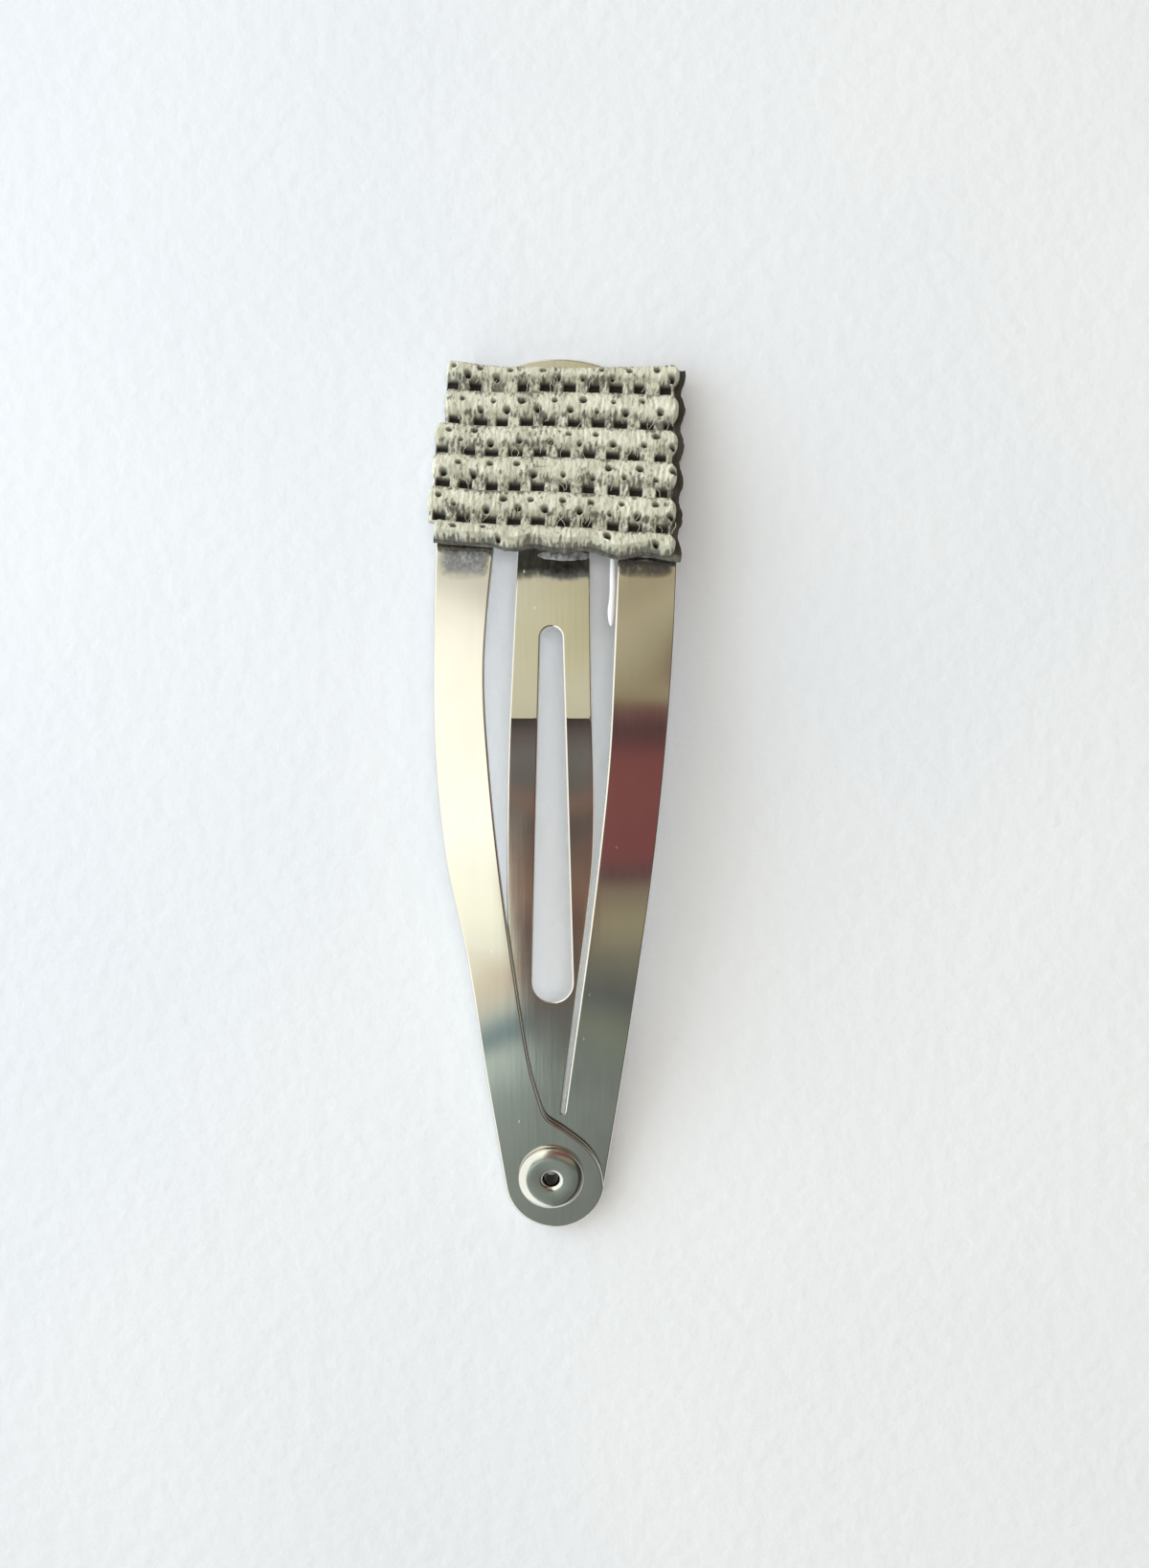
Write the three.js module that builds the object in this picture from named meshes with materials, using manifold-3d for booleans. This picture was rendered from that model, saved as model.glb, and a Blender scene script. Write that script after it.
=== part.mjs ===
// A kippah clip: a closed spring-steel snap clip with a pad of ribbed hook tape glued on its wide end.
// Millimetres. X runs across the clip, Y along it towards the wide end, and Z up.
// The origin is under the middle of the clip, on the surface that it lies on.

import * as THREE from 'three';
import { mergeVertices } from 'three/addons/utils/BufferGeometryUtils.js';
import Module from 'manifold-3d';

const wasm = await Module();
wasm.setup();

const degrees = THREE.MathUtils.degToRad;
const smoothstep = THREE.MathUtils.smoothstep;

// The stamped sheet
const CLIP_LENGTH = 50;
const HALF_LENGTH = CLIP_LENGTH / 2;
const HALF_WIDTH = 6.85;
const SHEET = 0.45;
const LAYER_GAP = 0.05;
const LAYER = SHEET + LAYER_GAP;
const SEAT = 0.02;

// The arch, seen from the side: a flat tip, one round stretch and a flat bow
const TIP_SLOPE = degrees(18);
const TIP_FLAT_END = -17;
const BOW_SLOPE = degrees(15.2);
const BOW_FLAT_START = 11.1;

// The dome across the arms: how far the sheet falls, for each square millimetre from the middle
const DOME = 0.01;
const DOME_TIP_FADE = [-17.9, -9];
const DOME_BOW_FADE = [5.5, 13.2];
const TONGUE_DOME_FADE = [-5, 2];

// The bow at the wide end, and the window inside it
const BOW_SEAM = 15;
const BOW_END_RISE = 6;
const WINDOW_HALF_WIDTH = 3.45;
const WINDOW_RISE = 3.6;

// The tip, where the two arms lie one over the other, a little to the left of the bow's middle
const TIP_X = -0.15;
const TIP_RADIUS = 2.85;
const TIP_CENTRE_Y = TIP_RADIUS - HALF_LENGTH;
const TIP_TAPER = degrees(9.6);
const JOGGLE = [-17.5, -8];

// The tongue
const ROOT_Y = -18.25;
const ROOT_GAP = 0.1;
const ROOT_LEFT_X = -2.25;
const ROOT_TONGUE_X = 0.22;
const ROOT_ARM_X = 0.38;
const TONGUE_END_RADIUS = 2.05;
const TONGUE_END_Y = 15.2;
const TONGUE_MIDDLE_X = -0.18;
const CREASE_Y = 4.1;
const CREASE_ANGLE = degrees(4);
const SLOT_TOP = { x: -0.33, y: 8.7, radius: 0.6 };
const SLOT_BOTTOM = { x: -0.28, y: -10.61, radius: 1.1 };

// The points, X and Y, that each cut edge passes through on its way from one end to the other
const LEFT_ARM_OUTER_EDGE = [[-6.9, 7], [-6.72, 1.4], [-6.12, -4], [-5.02, -9.2], [-4.03, -15.8]];
const LEFT_ARM_LOBE_EDGE = [[2.45, -21.45], [1.75, -20.3], [0.43, -19.2], [-0.57, -18.5], [-0.97, -17.6]];
const LEFT_ARM_INNER_EDGE = [[-1.69, -14.6], [-2.94, -6], [-3.74, 1.4], [-4.03, 7.5]];
const RIGHT_ARM_OUTER_EDGE = [[3.71, -15.8], [4.66, -9.2], [5.37, -4], [5.97, 1.5], [6.47, 7.5]];
const RIGHT_ARM_INNER_EDGE = [[3.16, 8], [2.81, 1.4], [1.95, -6.6], [0.87, -14.6]];
const TONGUE_RIGHT_EDGE = [[0.66, -14.6], [1.72, -6.8], [2.07, -2], [1.93, 6]];
const TONGUE_LEFT_EDGE = [[-2.57, 6.7], [-2.74, 2], [-2.82, -4], [-2.78, -10]];

// The blank that every sheet piece is cut from: rows one millimetre apart, with one on the crease
const BLANK_WIDTH = 16;
const BLANK_COLUMNS = 8;
const BLANK_LENGTH = 52;
const BLANK_ROWS = 52;
const BLANK_MIDDLE_Y = CREASE_Y - 4;
const CUTTER_HEIGHT = 30;
const CURVE_STEPS = 8;

// The tubular rivet, measured from the top of the upper sheet
const RIVET_X = -0.36;
const RIVET_Y = -21.9;
const RIVET_SIDES = 32;
const SHANK_RADIUS = 1.08;
const SHANK_CLEARANCE = 0.05;
const BORE_RADIUS = 0.42;
const LIP_ROUND = 0.32;
const HEAD_RADIUS = 1.85;
const HEAD_HEIGHT = 0.5;
const HEAD_ROUND = 0.55;
const TAIL_RADIUS = 1.5;
const TAIL_HEIGHT = 0.22;
const TAIL_ROUND = 0.12;
const PROFILE_STEPS = 4;
const STACK = (SHEET + LAYER) * Math.cos(TIP_SLOPE);

// The pad of tape: its hand-cut corners on the sheet, and its make-up
const PAD_WIDTH = 13.2;
const PAD_LENGTH = 10.4;
const PAD_CORNERS = {
  bottomLeft: new THREE.Vector2(-6.75, 13.88),
  bottomRight: new THREE.Vector2(6.55, 12.95),
  topLeft: new THREE.Vector2(-5.85, 24.17),
  topRight: new THREE.Vector2(6.95, 23.97),
};
const GLUE_THICKNESS = 0.15;
const GLUE_INSET = 0.2;
const BACKING_THICKNESS = 0.5;
const BACKING_OVERHANG = 0.3;
const RIB_COUNT = 6;
const RIB_PITCH = 1.98;
const RIB_GAP = 0.04;
const RIB_HEIGHT = 1.2;
const RIB_SHOULDER = 0.38;
const FIRST_RIB_CREST = 0.95;
const LAST_RIB_CREST = 0.97;
const CREST_WIDTH = 1.42;
const RIB_CRESTS = [FIRST_RIB_CREST, CREST_WIDTH, CREST_WIDTH, CREST_WIDTH, CREST_WIDTH, LAST_RIB_CREST];
const SHELF_WIDTH = RIB_PITCH - CREST_WIDTH - RIB_GAP;
const SHELF_HEIGHT = 0.55;
const RIB_OVERHANG = [0.3, 0.24, 0.5, 0.52, 0.5, 0.05];
const POCKETS = 10;
const POCKET_PITCH = 1.32;
const POCKET_WIDTH = 0.76;
const POCKET_FLOOR = 0.12;

// Glue squeezed out beside the pad
const BEAD_RADIUS = 0.24;
const BEAD_LENGTH = 3.6;
const BEAD_CENTRE = { x: 3, y: 11.1 };
const SMEAR_THICKNESS = 0.1;
const SMEAR_START = [-6.4, 13.65];
const SMEAR_EDGE = [[-6.25, 12.2], [-5.6, 11.65], [-4.9, 12.15], [-4.35, 11.9], [-4.1, 13.5]];

const STEEL = new THREE.MeshStandardMaterial({ color: 0xb8b4a4, roughness: 0.22, metalness: 1 });
const RIVET_STEEL = new THREE.MeshStandardMaterial({ color: 0xa9a99c, roughness: 0.28, metalness: 1 });
const TAPE = new THREE.MeshStandardMaterial({ color: 0xc8c6ae, roughness: 0.9, metalness: 0 });
const BACKING = new THREE.MeshStandardMaterial({ color: 0x4a463c, roughness: 0.95, metalness: 0 });
const GLUE = new THREE.MeshStandardMaterial({ color: 0xe4e6e2, roughness: 0.3, metalness: 0 });

// Solids

function solid(geometry) {
  const bare = geometry.clone();
  bare.deleteAttribute('normal');
  bare.deleteAttribute('uv');
  const merged = mergeVertices(bare);
  return new wasm.Manifold(new wasm.Mesh({
    numProp: 3,
    vertProperties: merged.attributes.position.array,
    triVerts: Uint32Array.from(merged.index.array),
  }));
}

function piece(name, body, material) {
  const cut = body.getMesh();
  const geometry = new THREE.BufferGeometry();
  geometry.setAttribute('position', new THREE.BufferAttribute(cut.vertProperties, 3));
  geometry.setIndex(new THREE.BufferAttribute(cut.triVerts, 1));
  geometry.computeVertexNormals();
  const mesh = new THREE.Mesh(geometry, material);
  mesh.name = name;
  return mesh;
}

function moveVertices(geometry, place) {
  const position = geometry.attributes.position;
  const point = new THREE.Vector3();
  for (let i = 0; i < position.count; i += 1) {
    point.fromBufferAttribute(position, i);
    const moved = place(point);
    position.setXYZ(i, moved.x, moved.y, moved.z);
  }
  return geometry;
}

// The arched form

const ARCH_RADIUS = (BOW_FLAT_START - TIP_FLAT_END) / (Math.sin(TIP_SLOPE) + Math.sin(BOW_SLOPE));
const ARCH_TOP_Y = TIP_FLAT_END + ARCH_RADIUS * Math.sin(TIP_SLOPE);

function archArc(y) {
  return Math.sqrt(ARCH_RADIUS ** 2 - (y - ARCH_TOP_Y) ** 2) - ARCH_RADIUS;
}

function archHeight(y) {
  if (y < TIP_FLAT_END) return archArc(TIP_FLAT_END) - (TIP_FLAT_END - y) * Math.tan(TIP_SLOPE);
  if (y > BOW_FLAT_START) return archArc(BOW_FLAT_START) - (y - BOW_FLAT_START) * Math.tan(BOW_SLOPE);
  return archArc(y);
}

// The lower sheet's edge at the tip touches the surface that the clip lies on.
const LIFT = LAYER + SHEET / 2 - archHeight(-HALF_LENGTH);

function domedSheet(x, y, fadeAway) {
  const fade = smoothstep(y, ...DOME_TIP_FADE) * (1 - smoothstep(y, ...fadeAway));
  return LIFT + archHeight(y) - DOME * fade * x * x;
}

function upperSheet(x, y) {
  return domedSheet(x, y, DOME_BOW_FADE);
}

// The right arm leaves the upper level and reaches the lower one at the tip.
function rightArmSheet(x, y) {
  return upperSheet(x, y) - LAYER * (1 - smoothstep(y, ...JOGGLE));
}

// The tongue lies one level down, soon turns flat across, and falls away past its crease.
function tongueSheet(x, y) {
  const creaseFall = Math.max(0, y - CREASE_Y) * Math.tan(CREASE_ANGLE);
  return domedSheet(x, y, TONGUE_DOME_FADE) - LAYER - creaseFall;
}

function bentBlank(heightAt, thickness = SHEET) {
  const blank = new THREE.BoxGeometry(
    BLANK_WIDTH, BLANK_LENGTH, thickness, BLANK_COLUMNS, BLANK_ROWS, 1,
  );
  blank.translate(0, BLANK_MIDDLE_Y, 0);
  return solid(moveVertices(blank, (p) => p.setZ(p.z + heightAt(p.x, p.y))));
}

function cutter(outline) {
  const prism = new THREE.ExtrudeGeometry(outline, {
    depth: CUTTER_HEIGHT, bevelEnabled: false, curveSegments: CURVE_STEPS,
  });
  return solid(prism.translate(0, 0, -CUTTER_HEIGHT / 2));
}

function sheetPiece(heightAt, outline) {
  return bentBlank(heightAt).intersect(cutter(outline));
}

// Outlines, seen from above

function spline(outline, points) {
  outline.splineThru(points.map(([x, y]) => new THREE.Vector2(x, y)));
}

const TIP_TANGENT_X = TIP_RADIUS * Math.cos(TIP_TAPER);
const TIP_TANGENT_Y = TIP_CENTRE_Y - TIP_RADIUS * Math.sin(TIP_TAPER);

// Round the tip from its left side to its right side.
function tipArc(outline) {
  outline.absarc(TIP_X, TIP_CENTRE_Y, TIP_RADIUS, Math.PI + TIP_TAPER, 2 * Math.PI - TIP_TAPER, false);
}

function bowOutline(startY) {
  const outline = new THREE.Shape();
  outline.moveTo(HALF_WIDTH, startY);
  outline.lineTo(HALF_WIDTH, HALF_LENGTH - BOW_END_RISE);
  outline.absellipse(0, HALF_LENGTH - BOW_END_RISE, HALF_WIDTH, BOW_END_RISE, 0, Math.PI, false);
  outline.lineTo(-HALF_WIDTH, startY);
  outline.lineTo(-WINDOW_HALF_WIDTH, startY);
  outline.absellipse(0, BOW_SEAM, WINDOW_HALF_WIDTH, WINDOW_RISE, Math.PI, 0, true);
  outline.lineTo(WINDOW_HALF_WIDTH, startY);
  outline.closePath();
  return outline;
}

function leftArmOutline() {
  const outline = new THREE.Shape();
  outline.moveTo(-HALF_WIDTH, BOW_SEAM - SEAT);
  spline(outline, [...LEFT_ARM_OUTER_EDGE, [TIP_X - TIP_TANGENT_X, TIP_TANGENT_Y]]);
  tipArc(outline);
  spline(outline, LEFT_ARM_LOBE_EDGE);
  spline(outline, [...LEFT_ARM_INNER_EDGE, [-WINDOW_HALF_WIDTH, BOW_SEAM - SEAT]]);
  outline.closePath();
  return outline;
}

function rightArmOutline() {
  const outline = new THREE.Shape();
  outline.moveTo(ROOT_LEFT_X, ROOT_Y - ROOT_GAP / 2);
  outline.lineTo(TIP_X - TIP_TANGENT_X, TIP_TANGENT_Y);
  tipArc(outline);
  spline(outline, [...RIGHT_ARM_OUTER_EDGE, [HALF_WIDTH, BOW_SEAM - SEAT]]);
  outline.lineTo(WINDOW_HALF_WIDTH, BOW_SEAM - SEAT);
  spline(outline, [...RIGHT_ARM_INNER_EDGE, [ROOT_ARM_X, ROOT_Y - ROOT_GAP / 2]]);
  outline.closePath();
  return outline;
}

function tongueOutline() {
  const outline = new THREE.Shape();
  outline.moveTo(ROOT_LEFT_X, ROOT_Y + ROOT_GAP / 2);
  outline.lineTo(ROOT_TONGUE_X, ROOT_Y + ROOT_GAP / 2);
  spline(outline, [...TONGUE_RIGHT_EDGE, [TONGUE_MIDDLE_X + TONGUE_END_RADIUS, TONGUE_END_Y]]);
  outline.absarc(TONGUE_MIDDLE_X, TONGUE_END_Y, TONGUE_END_RADIUS, 0, Math.PI, false);
  spline(outline, [...TONGUE_LEFT_EDGE, [ROOT_LEFT_X, ROOT_Y + ROOT_GAP / 2]]);
  outline.closePath();
  outline.holes.push(slotPath());
  return outline;
}

// A slot that widens towards the tip, round at both ends.
function slotPath() {
  const slot = new THREE.Path();
  slot.moveTo(SLOT_TOP.x - SLOT_TOP.radius, SLOT_TOP.y);
  slot.lineTo(SLOT_BOTTOM.x - SLOT_BOTTOM.radius, SLOT_BOTTOM.y);
  slot.absarc(SLOT_BOTTOM.x, SLOT_BOTTOM.y, SLOT_BOTTOM.radius, Math.PI, 2 * Math.PI, false);
  slot.lineTo(SLOT_TOP.x + SLOT_TOP.radius, SLOT_TOP.y);
  slot.absarc(SLOT_TOP.x, SLOT_TOP.y, SLOT_TOP.radius, 0, Math.PI, false);
  return slot;
}

// The rivet

function placeOnTip(geometry) {
  geometry.rotateX(Math.PI / 2 + TIP_SLOPE);
  return geometry.translate(RIVET_X, RIVET_Y, upperSheet(0, RIVET_Y) + SHEET / 2);
}

function rivetHole() {
  const radius = SHANK_RADIUS + SHANK_CLEARANCE;
  return solid(placeOnTip(new THREE.CylinderGeometry(radius, radius, 4 * STACK, RIVET_SIDES)));
}

// A tube with a broad round head, a soft lip round its bore, and a rolled tail.
function rivet() {
  const foot = -STACK - TAIL_HEIGHT;
  const profile = new THREE.Path();
  profile.moveTo(BORE_RADIUS, foot);
  profile.lineTo(TAIL_RADIUS - TAIL_ROUND, foot);
  profile.quadraticCurveTo(TAIL_RADIUS, foot, TAIL_RADIUS, foot + TAIL_ROUND);
  profile.lineTo(TAIL_RADIUS, -STACK - SEAT);
  profile.lineTo(SHANK_RADIUS, -STACK - SEAT);
  profile.lineTo(SHANK_RADIUS, SEAT);
  profile.lineTo(HEAD_RADIUS, SEAT);
  profile.quadraticCurveTo(HEAD_RADIUS, HEAD_HEIGHT, HEAD_RADIUS - HEAD_ROUND, HEAD_HEIGHT);
  profile.lineTo(BORE_RADIUS + LIP_ROUND, HEAD_HEIGHT);
  profile.quadraticCurveTo(BORE_RADIUS, HEAD_HEIGHT, BORE_RADIUS, HEAD_HEIGHT - LIP_ROUND);
  profile.lineTo(BORE_RADIUS, foot);
  return solid(placeOnTip(new THREE.LatheGeometry(profile.getPoints(PROFILE_STEPS), RIVET_SIDES)));
}

// The pad

// A point of the pad: along it from the left end, across it from the bottom edge, and above the sheet.
function padPoint(along, across, above) {
  const { bottomLeft, bottomRight, topLeft, topRight } = PAD_CORNERS;
  const bottom = bottomLeft.clone().lerp(bottomRight, along / PAD_WIDTH);
  const top = topLeft.clone().lerp(topRight, along / PAD_WIDTH);
  const plan = bottom.lerp(top, across / PAD_LENGTH);
  const sheetTop = upperSheet(0, plan.y) + SHEET / (2 * Math.cos(BOW_SLOPE));
  return new THREE.Vector3(
    plan.x,
    plan.y + above * Math.sin(BOW_SLOPE),
    sheetTop + above * Math.cos(BOW_SLOPE),
  );
}

function layer(left, right, bottom, top, low, high) {
  const box = new THREE.BoxGeometry(1, 1, 1);
  return solid(moveVertices(box, (p) => padPoint(
    THREE.MathUtils.lerp(left, right, p.x + 0.5),
    THREE.MathUtils.lerp(bottom, top, p.y + 0.5),
    THREE.MathUtils.lerp(low, high, p.z + 0.5),
  )));
}

const GLUE_TOP = SEAT + GLUE_THICKNESS;
const BACKING_BASE = GLUE_TOP + SEAT;
const RIB_BASE = BACKING_BASE + BACKING_THICKNESS + SEAT;

function glueFilm() {
  const right = PAD_WIDTH - GLUE_INSET;
  const top = PAD_LENGTH - GLUE_INSET;
  const film = layer(GLUE_INSET, right, GLUE_INSET, top, SEAT, GLUE_TOP);
  return film.intersect(cutter(bowOutline(BOW_FLAT_START)));
}

function padBacking() {
  return layer(
    0, PAD_WIDTH + BACKING_OVERHANG, 0, PAD_LENGTH, BACKING_BASE, BACKING_BASE + BACKING_THICKNESS,
  );
}

// A rib's section: a low shelf at the bottom, then a round-shouldered crest.
function ribSection(shelf, crest) {
  const right = shelf + crest;
  const section = new THREE.Shape();
  section.moveTo(0, 0);
  section.lineTo(right, 0);
  section.lineTo(right, RIB_HEIGHT - 2 * RIB_SHOULDER);
  section.quadraticCurveTo(right, RIB_HEIGHT, right - RIB_SHOULDER, RIB_HEIGHT);
  section.lineTo(shelf + RIB_SHOULDER, RIB_HEIGHT);
  section.quadraticCurveTo(shelf, RIB_HEIGHT, shelf, RIB_HEIGHT - RIB_SHOULDER);
  if (shelf > 0) {
    section.lineTo(shelf, SHELF_HEIGHT);
    section.lineTo(0, SHELF_HEIGHT);
  }
  section.closePath();
  return section;
}

// Pockets in the shelf, which leave the short bridges of yarn between one rib and the next.
function ribPockets(bottom) {
  const first = (PAD_WIDTH - (POCKETS - 1) * POCKET_PITCH) / 2;
  const pockets = [];
  for (let i = 0; i < POCKETS; i += 1) {
    const middle = first + i * POCKET_PITCH;
    pockets.push(layer(
      middle - POCKET_WIDTH / 2, middle + POCKET_WIDTH / 2,
      bottom - RIB_GAP, bottom + SHELF_WIDTH,
      RIB_BASE + POCKET_FLOOR, RIB_BASE + SHELF_HEIGHT + POCKET_FLOOR,
    ));
  }
  return pockets;
}

// Ribs are numbered from the wide end. The last one has no shelf, because the tape was cut there.
function padRib(index) {
  const isLast = index === RIB_COUNT - 1;
  const shelf = isLast ? 0 : SHELF_WIDTH;
  const crest = RIB_CRESTS[index];
  const bottom = isLast ? 0 : PAD_LENGTH - FIRST_RIB_CREST - SHELF_WIDTH - index * RIB_PITCH;
  const overhang = RIB_OVERHANG[index];
  const bar = new THREE.ExtrudeGeometry(ribSection(shelf, crest), {
    depth: PAD_WIDTH + overhang, bevelEnabled: false, curveSegments: 4,
  });
  const rib = solid(moveVertices(bar, (p) => padPoint(p.z - overhang, bottom + p.x, RIB_BASE + p.y)));
  if (isLast) return rib;
  return ribPockets(bottom).reduce((cut, pocket) => cut.subtract(pocket), rib);
}

// Glue that came out from under the pad

function glueBead() {
  const drop = new THREE.SphereGeometry(BEAD_RADIUS, 12, 8);
  drop.scale(1, BEAD_LENGTH / (2 * BEAD_RADIUS), 1);
  return solid(drop.translate(BEAD_CENTRE.x, BEAD_CENTRE.y, upperSheet(BEAD_CENTRE.x, BEAD_CENTRE.y)));
}

function glueSmear() {
  const outline = new THREE.Shape();
  outline.moveTo(...SMEAR_START);
  spline(outline, SMEAR_EDGE);
  outline.closePath();
  const above = SHEET / 2 + SEAT + SMEAR_THICKNESS / 2;
  return bentBlank((x, y) => upperSheet(x, y) + above, SMEAR_THICKNESS).intersect(cutter(outline));
}

// The clip

const clip = new THREE.Group();
const hole = rivetHole();
clip.add(piece('wide_end_bow', sheetPiece(upperSheet, bowOutline(BOW_SEAM)), STEEL));
clip.add(piece('left_arm', sheetPiece(upperSheet, leftArmOutline()).subtract(hole), STEEL));
clip.add(piece('right_arm', sheetPiece(rightArmSheet, rightArmOutline()).subtract(hole), STEEL));
clip.add(piece('tongue', sheetPiece(tongueSheet, tongueOutline()), STEEL));
clip.add(piece('tip_rivet', rivet(), RIVET_STEEL));
clip.add(piece('glue_film', glueFilm(), GLUE));
clip.add(piece('glue_bead', glueBead(), GLUE));
clip.add(piece('glue_smear', glueSmear(), GLUE));
clip.add(piece('pad_backing', padBacking(), BACKING));
for (let index = 0; index < RIB_COUNT; index += 1) {
  clip.add(piece(`pad_rib_${index + 1}`, padRib(index), TAPE));
}

export default clip;
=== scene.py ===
# %% [markdown]
# # A kippah clip: spring steel and ribbed tape
# This lesson dresses a small snap clip. Its frame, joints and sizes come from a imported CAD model, which
# Blender loads as a fixed frame. The fine surfaces are then made around it: bright plated sheet, a turned
# rivet, a hand-cut pad of woven tape and a little dried glue.

# %% Load the frame
import math
import random

import bmesh
import bpy
from mathutils import Matrix, Vector, noise
from mathutils.geometry import delaunay_2d_cdt


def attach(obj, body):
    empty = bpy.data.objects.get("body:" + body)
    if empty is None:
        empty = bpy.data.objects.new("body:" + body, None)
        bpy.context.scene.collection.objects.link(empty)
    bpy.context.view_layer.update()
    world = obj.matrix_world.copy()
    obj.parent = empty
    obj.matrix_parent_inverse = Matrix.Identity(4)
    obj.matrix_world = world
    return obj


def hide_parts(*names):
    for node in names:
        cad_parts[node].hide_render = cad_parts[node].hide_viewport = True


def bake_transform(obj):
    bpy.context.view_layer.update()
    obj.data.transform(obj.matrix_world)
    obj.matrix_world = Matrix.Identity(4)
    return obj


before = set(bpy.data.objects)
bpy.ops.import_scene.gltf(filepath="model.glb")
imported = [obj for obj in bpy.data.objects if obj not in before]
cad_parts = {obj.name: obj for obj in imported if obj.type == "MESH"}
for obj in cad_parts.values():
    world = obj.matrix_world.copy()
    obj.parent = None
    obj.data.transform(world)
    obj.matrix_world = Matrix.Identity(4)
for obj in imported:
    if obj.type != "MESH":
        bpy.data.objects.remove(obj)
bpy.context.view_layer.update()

MM = 0.001

# %% [markdown]
# ## The camera
# The picture was taken from straight above and from close by, so the high middle of the arch looks a
# little larger than the two ends. A camera of the same height gives the same effect. The lens is worked
# out from how much paper the picture covers, with the vertical side of the sensor fixed, so that it
# doesn't depend on the size of the render.

# %% Camera
CAMERA_HEIGHT = 130
CAMERA_X = 0.97
CAMERA_Y = 0.47
COVERED_LENGTH = 90.38
COVERED_AT = 0.5
SENSOR_HEIGHT = 24

camera_data = bpy.data.cameras.new("photo_camera")
camera_data.sensor_fit = "VERTICAL"
camera_data.sensor_height = SENSOR_HEIGHT
camera_data.lens = SENSOR_HEIGHT * (CAMERA_HEIGHT - COVERED_AT) / COVERED_LENGTH
camera_data.clip_start = MM
camera = bpy.data.objects.new("photo_camera", camera_data)
camera.location = (CAMERA_X * MM, CAMERA_Y * MM, CAMERA_HEIGHT * MM)
scene = bpy.context.scene
scene.collection.objects.link(camera)
scene.camera = camera
scene.view_settings.view_transform = "Standard"
print("lens:", round(camera_data.lens, 2), "mm")

# %% [markdown]
# ## Node helpers
# The room and every finish below are small node trees. They could be drawn by hand in the shader editor, but
# then nobody could read them here. A few helpers keep the cells short: one adds a node and fills in its
# sockets, and the others make the ramps, mixes and sums that keep coming back.

# %% Node helpers
def add_node(tree, kind, sockets=None, **settings):
    node = tree.nodes.new(kind)
    for name, value in settings.items():
        setattr(node, name, value)
    for socket, value in (sockets or {}).items():
        if isinstance(value, bpy.types.NodeSocket):
            tree.links.new(value, node.inputs[socket])
        else:
            node.inputs[socket].default_value = value
    return node


def ramp(tree, factor, stops):
    node = add_node(tree, "ShaderNodeValToRGB", {"Fac": factor})
    elements = node.color_ramp.elements
    while len(elements) < len(stops):
        elements.new(1)
    for element, (position, color) in zip(elements, stops):
        element.position = position
        element.color = (*color, 1)
    return node.outputs["Color"]


def mix_colors(tree, factor, first, second):
    """Mixes two colours, each of them a socket or four numbers."""
    return add_node(
        tree, "ShaderNodeMix", {"Factor": factor, 6: first, 7: second}, data_type="RGBA").outputs[2]


def math_node(tree, operation, first, second, third=0):
    return add_node(
        tree, "ShaderNodeMath", {0: first, 1: second, 2: third}, operation=operation).outputs["Value"]


print("node helpers: add_node, ramp, mix_colors, math_node")

# %% [markdown]
# ## The room
# Bright plate has hardly any colour of its own: it shows the room. A picture of a room wrapped round the
# clip could do that, but bands that are written down can be moved one by one until the stripes on the metal
# sit right. So the world is made of ramps over an angle: how far a ray leans from straight up, from the near
# side of the room to the far side. Ramps are enough, because the arch bends every edge of the room into a
# soft stripe.

# %% Room angles
QUARTER_TURN = 90
HALF_TURN = 180

world = bpy.data.worlds.new("room")
scene.world = world
world.use_nodes = True
sky = world.node_tree
direction = add_node(sky, "ShaderNodeTexCoord").outputs["Generated"]
axes = add_node(sky, "ShaderNodeSeparateXYZ", {0: direction})


def tilt(sideways):
    """How far a ray leans from straight up towards one side of the room, in degrees."""
    angle = math_node(sky, "ARCTAN2", sideways, axes.outputs["Z"])
    return math_node(sky, "MULTIPLY", angle, math.degrees(1))


along_room = tilt(axes.outputs["Y"])
across_room = tilt(axes.outputs["X"])
along_share = math_node(sky, "DIVIDE", math_node(sky, "ADD", along_room, QUARTER_TURN), HALF_TURN)


def room_ramp(*stops):
    """A ramp along the room. Each stop is an angle in degrees and a colour."""
    return ramp(sky, along_share, [((angle + QUARTER_TURN) / HALF_TURN, color) for angle, color in stops])


print("angles ready")

# %% [markdown]
# ## Window, ceiling and curtain
# The left arm leans to a white window, the tongue looks straight up at a dark ceiling with a lit end, and
# the right arm leans to a brown curtain. Each of the three is one ramp. Stops that stand close together make
# the hard edge of a stripe, and stops far apart make a slow change.

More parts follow.
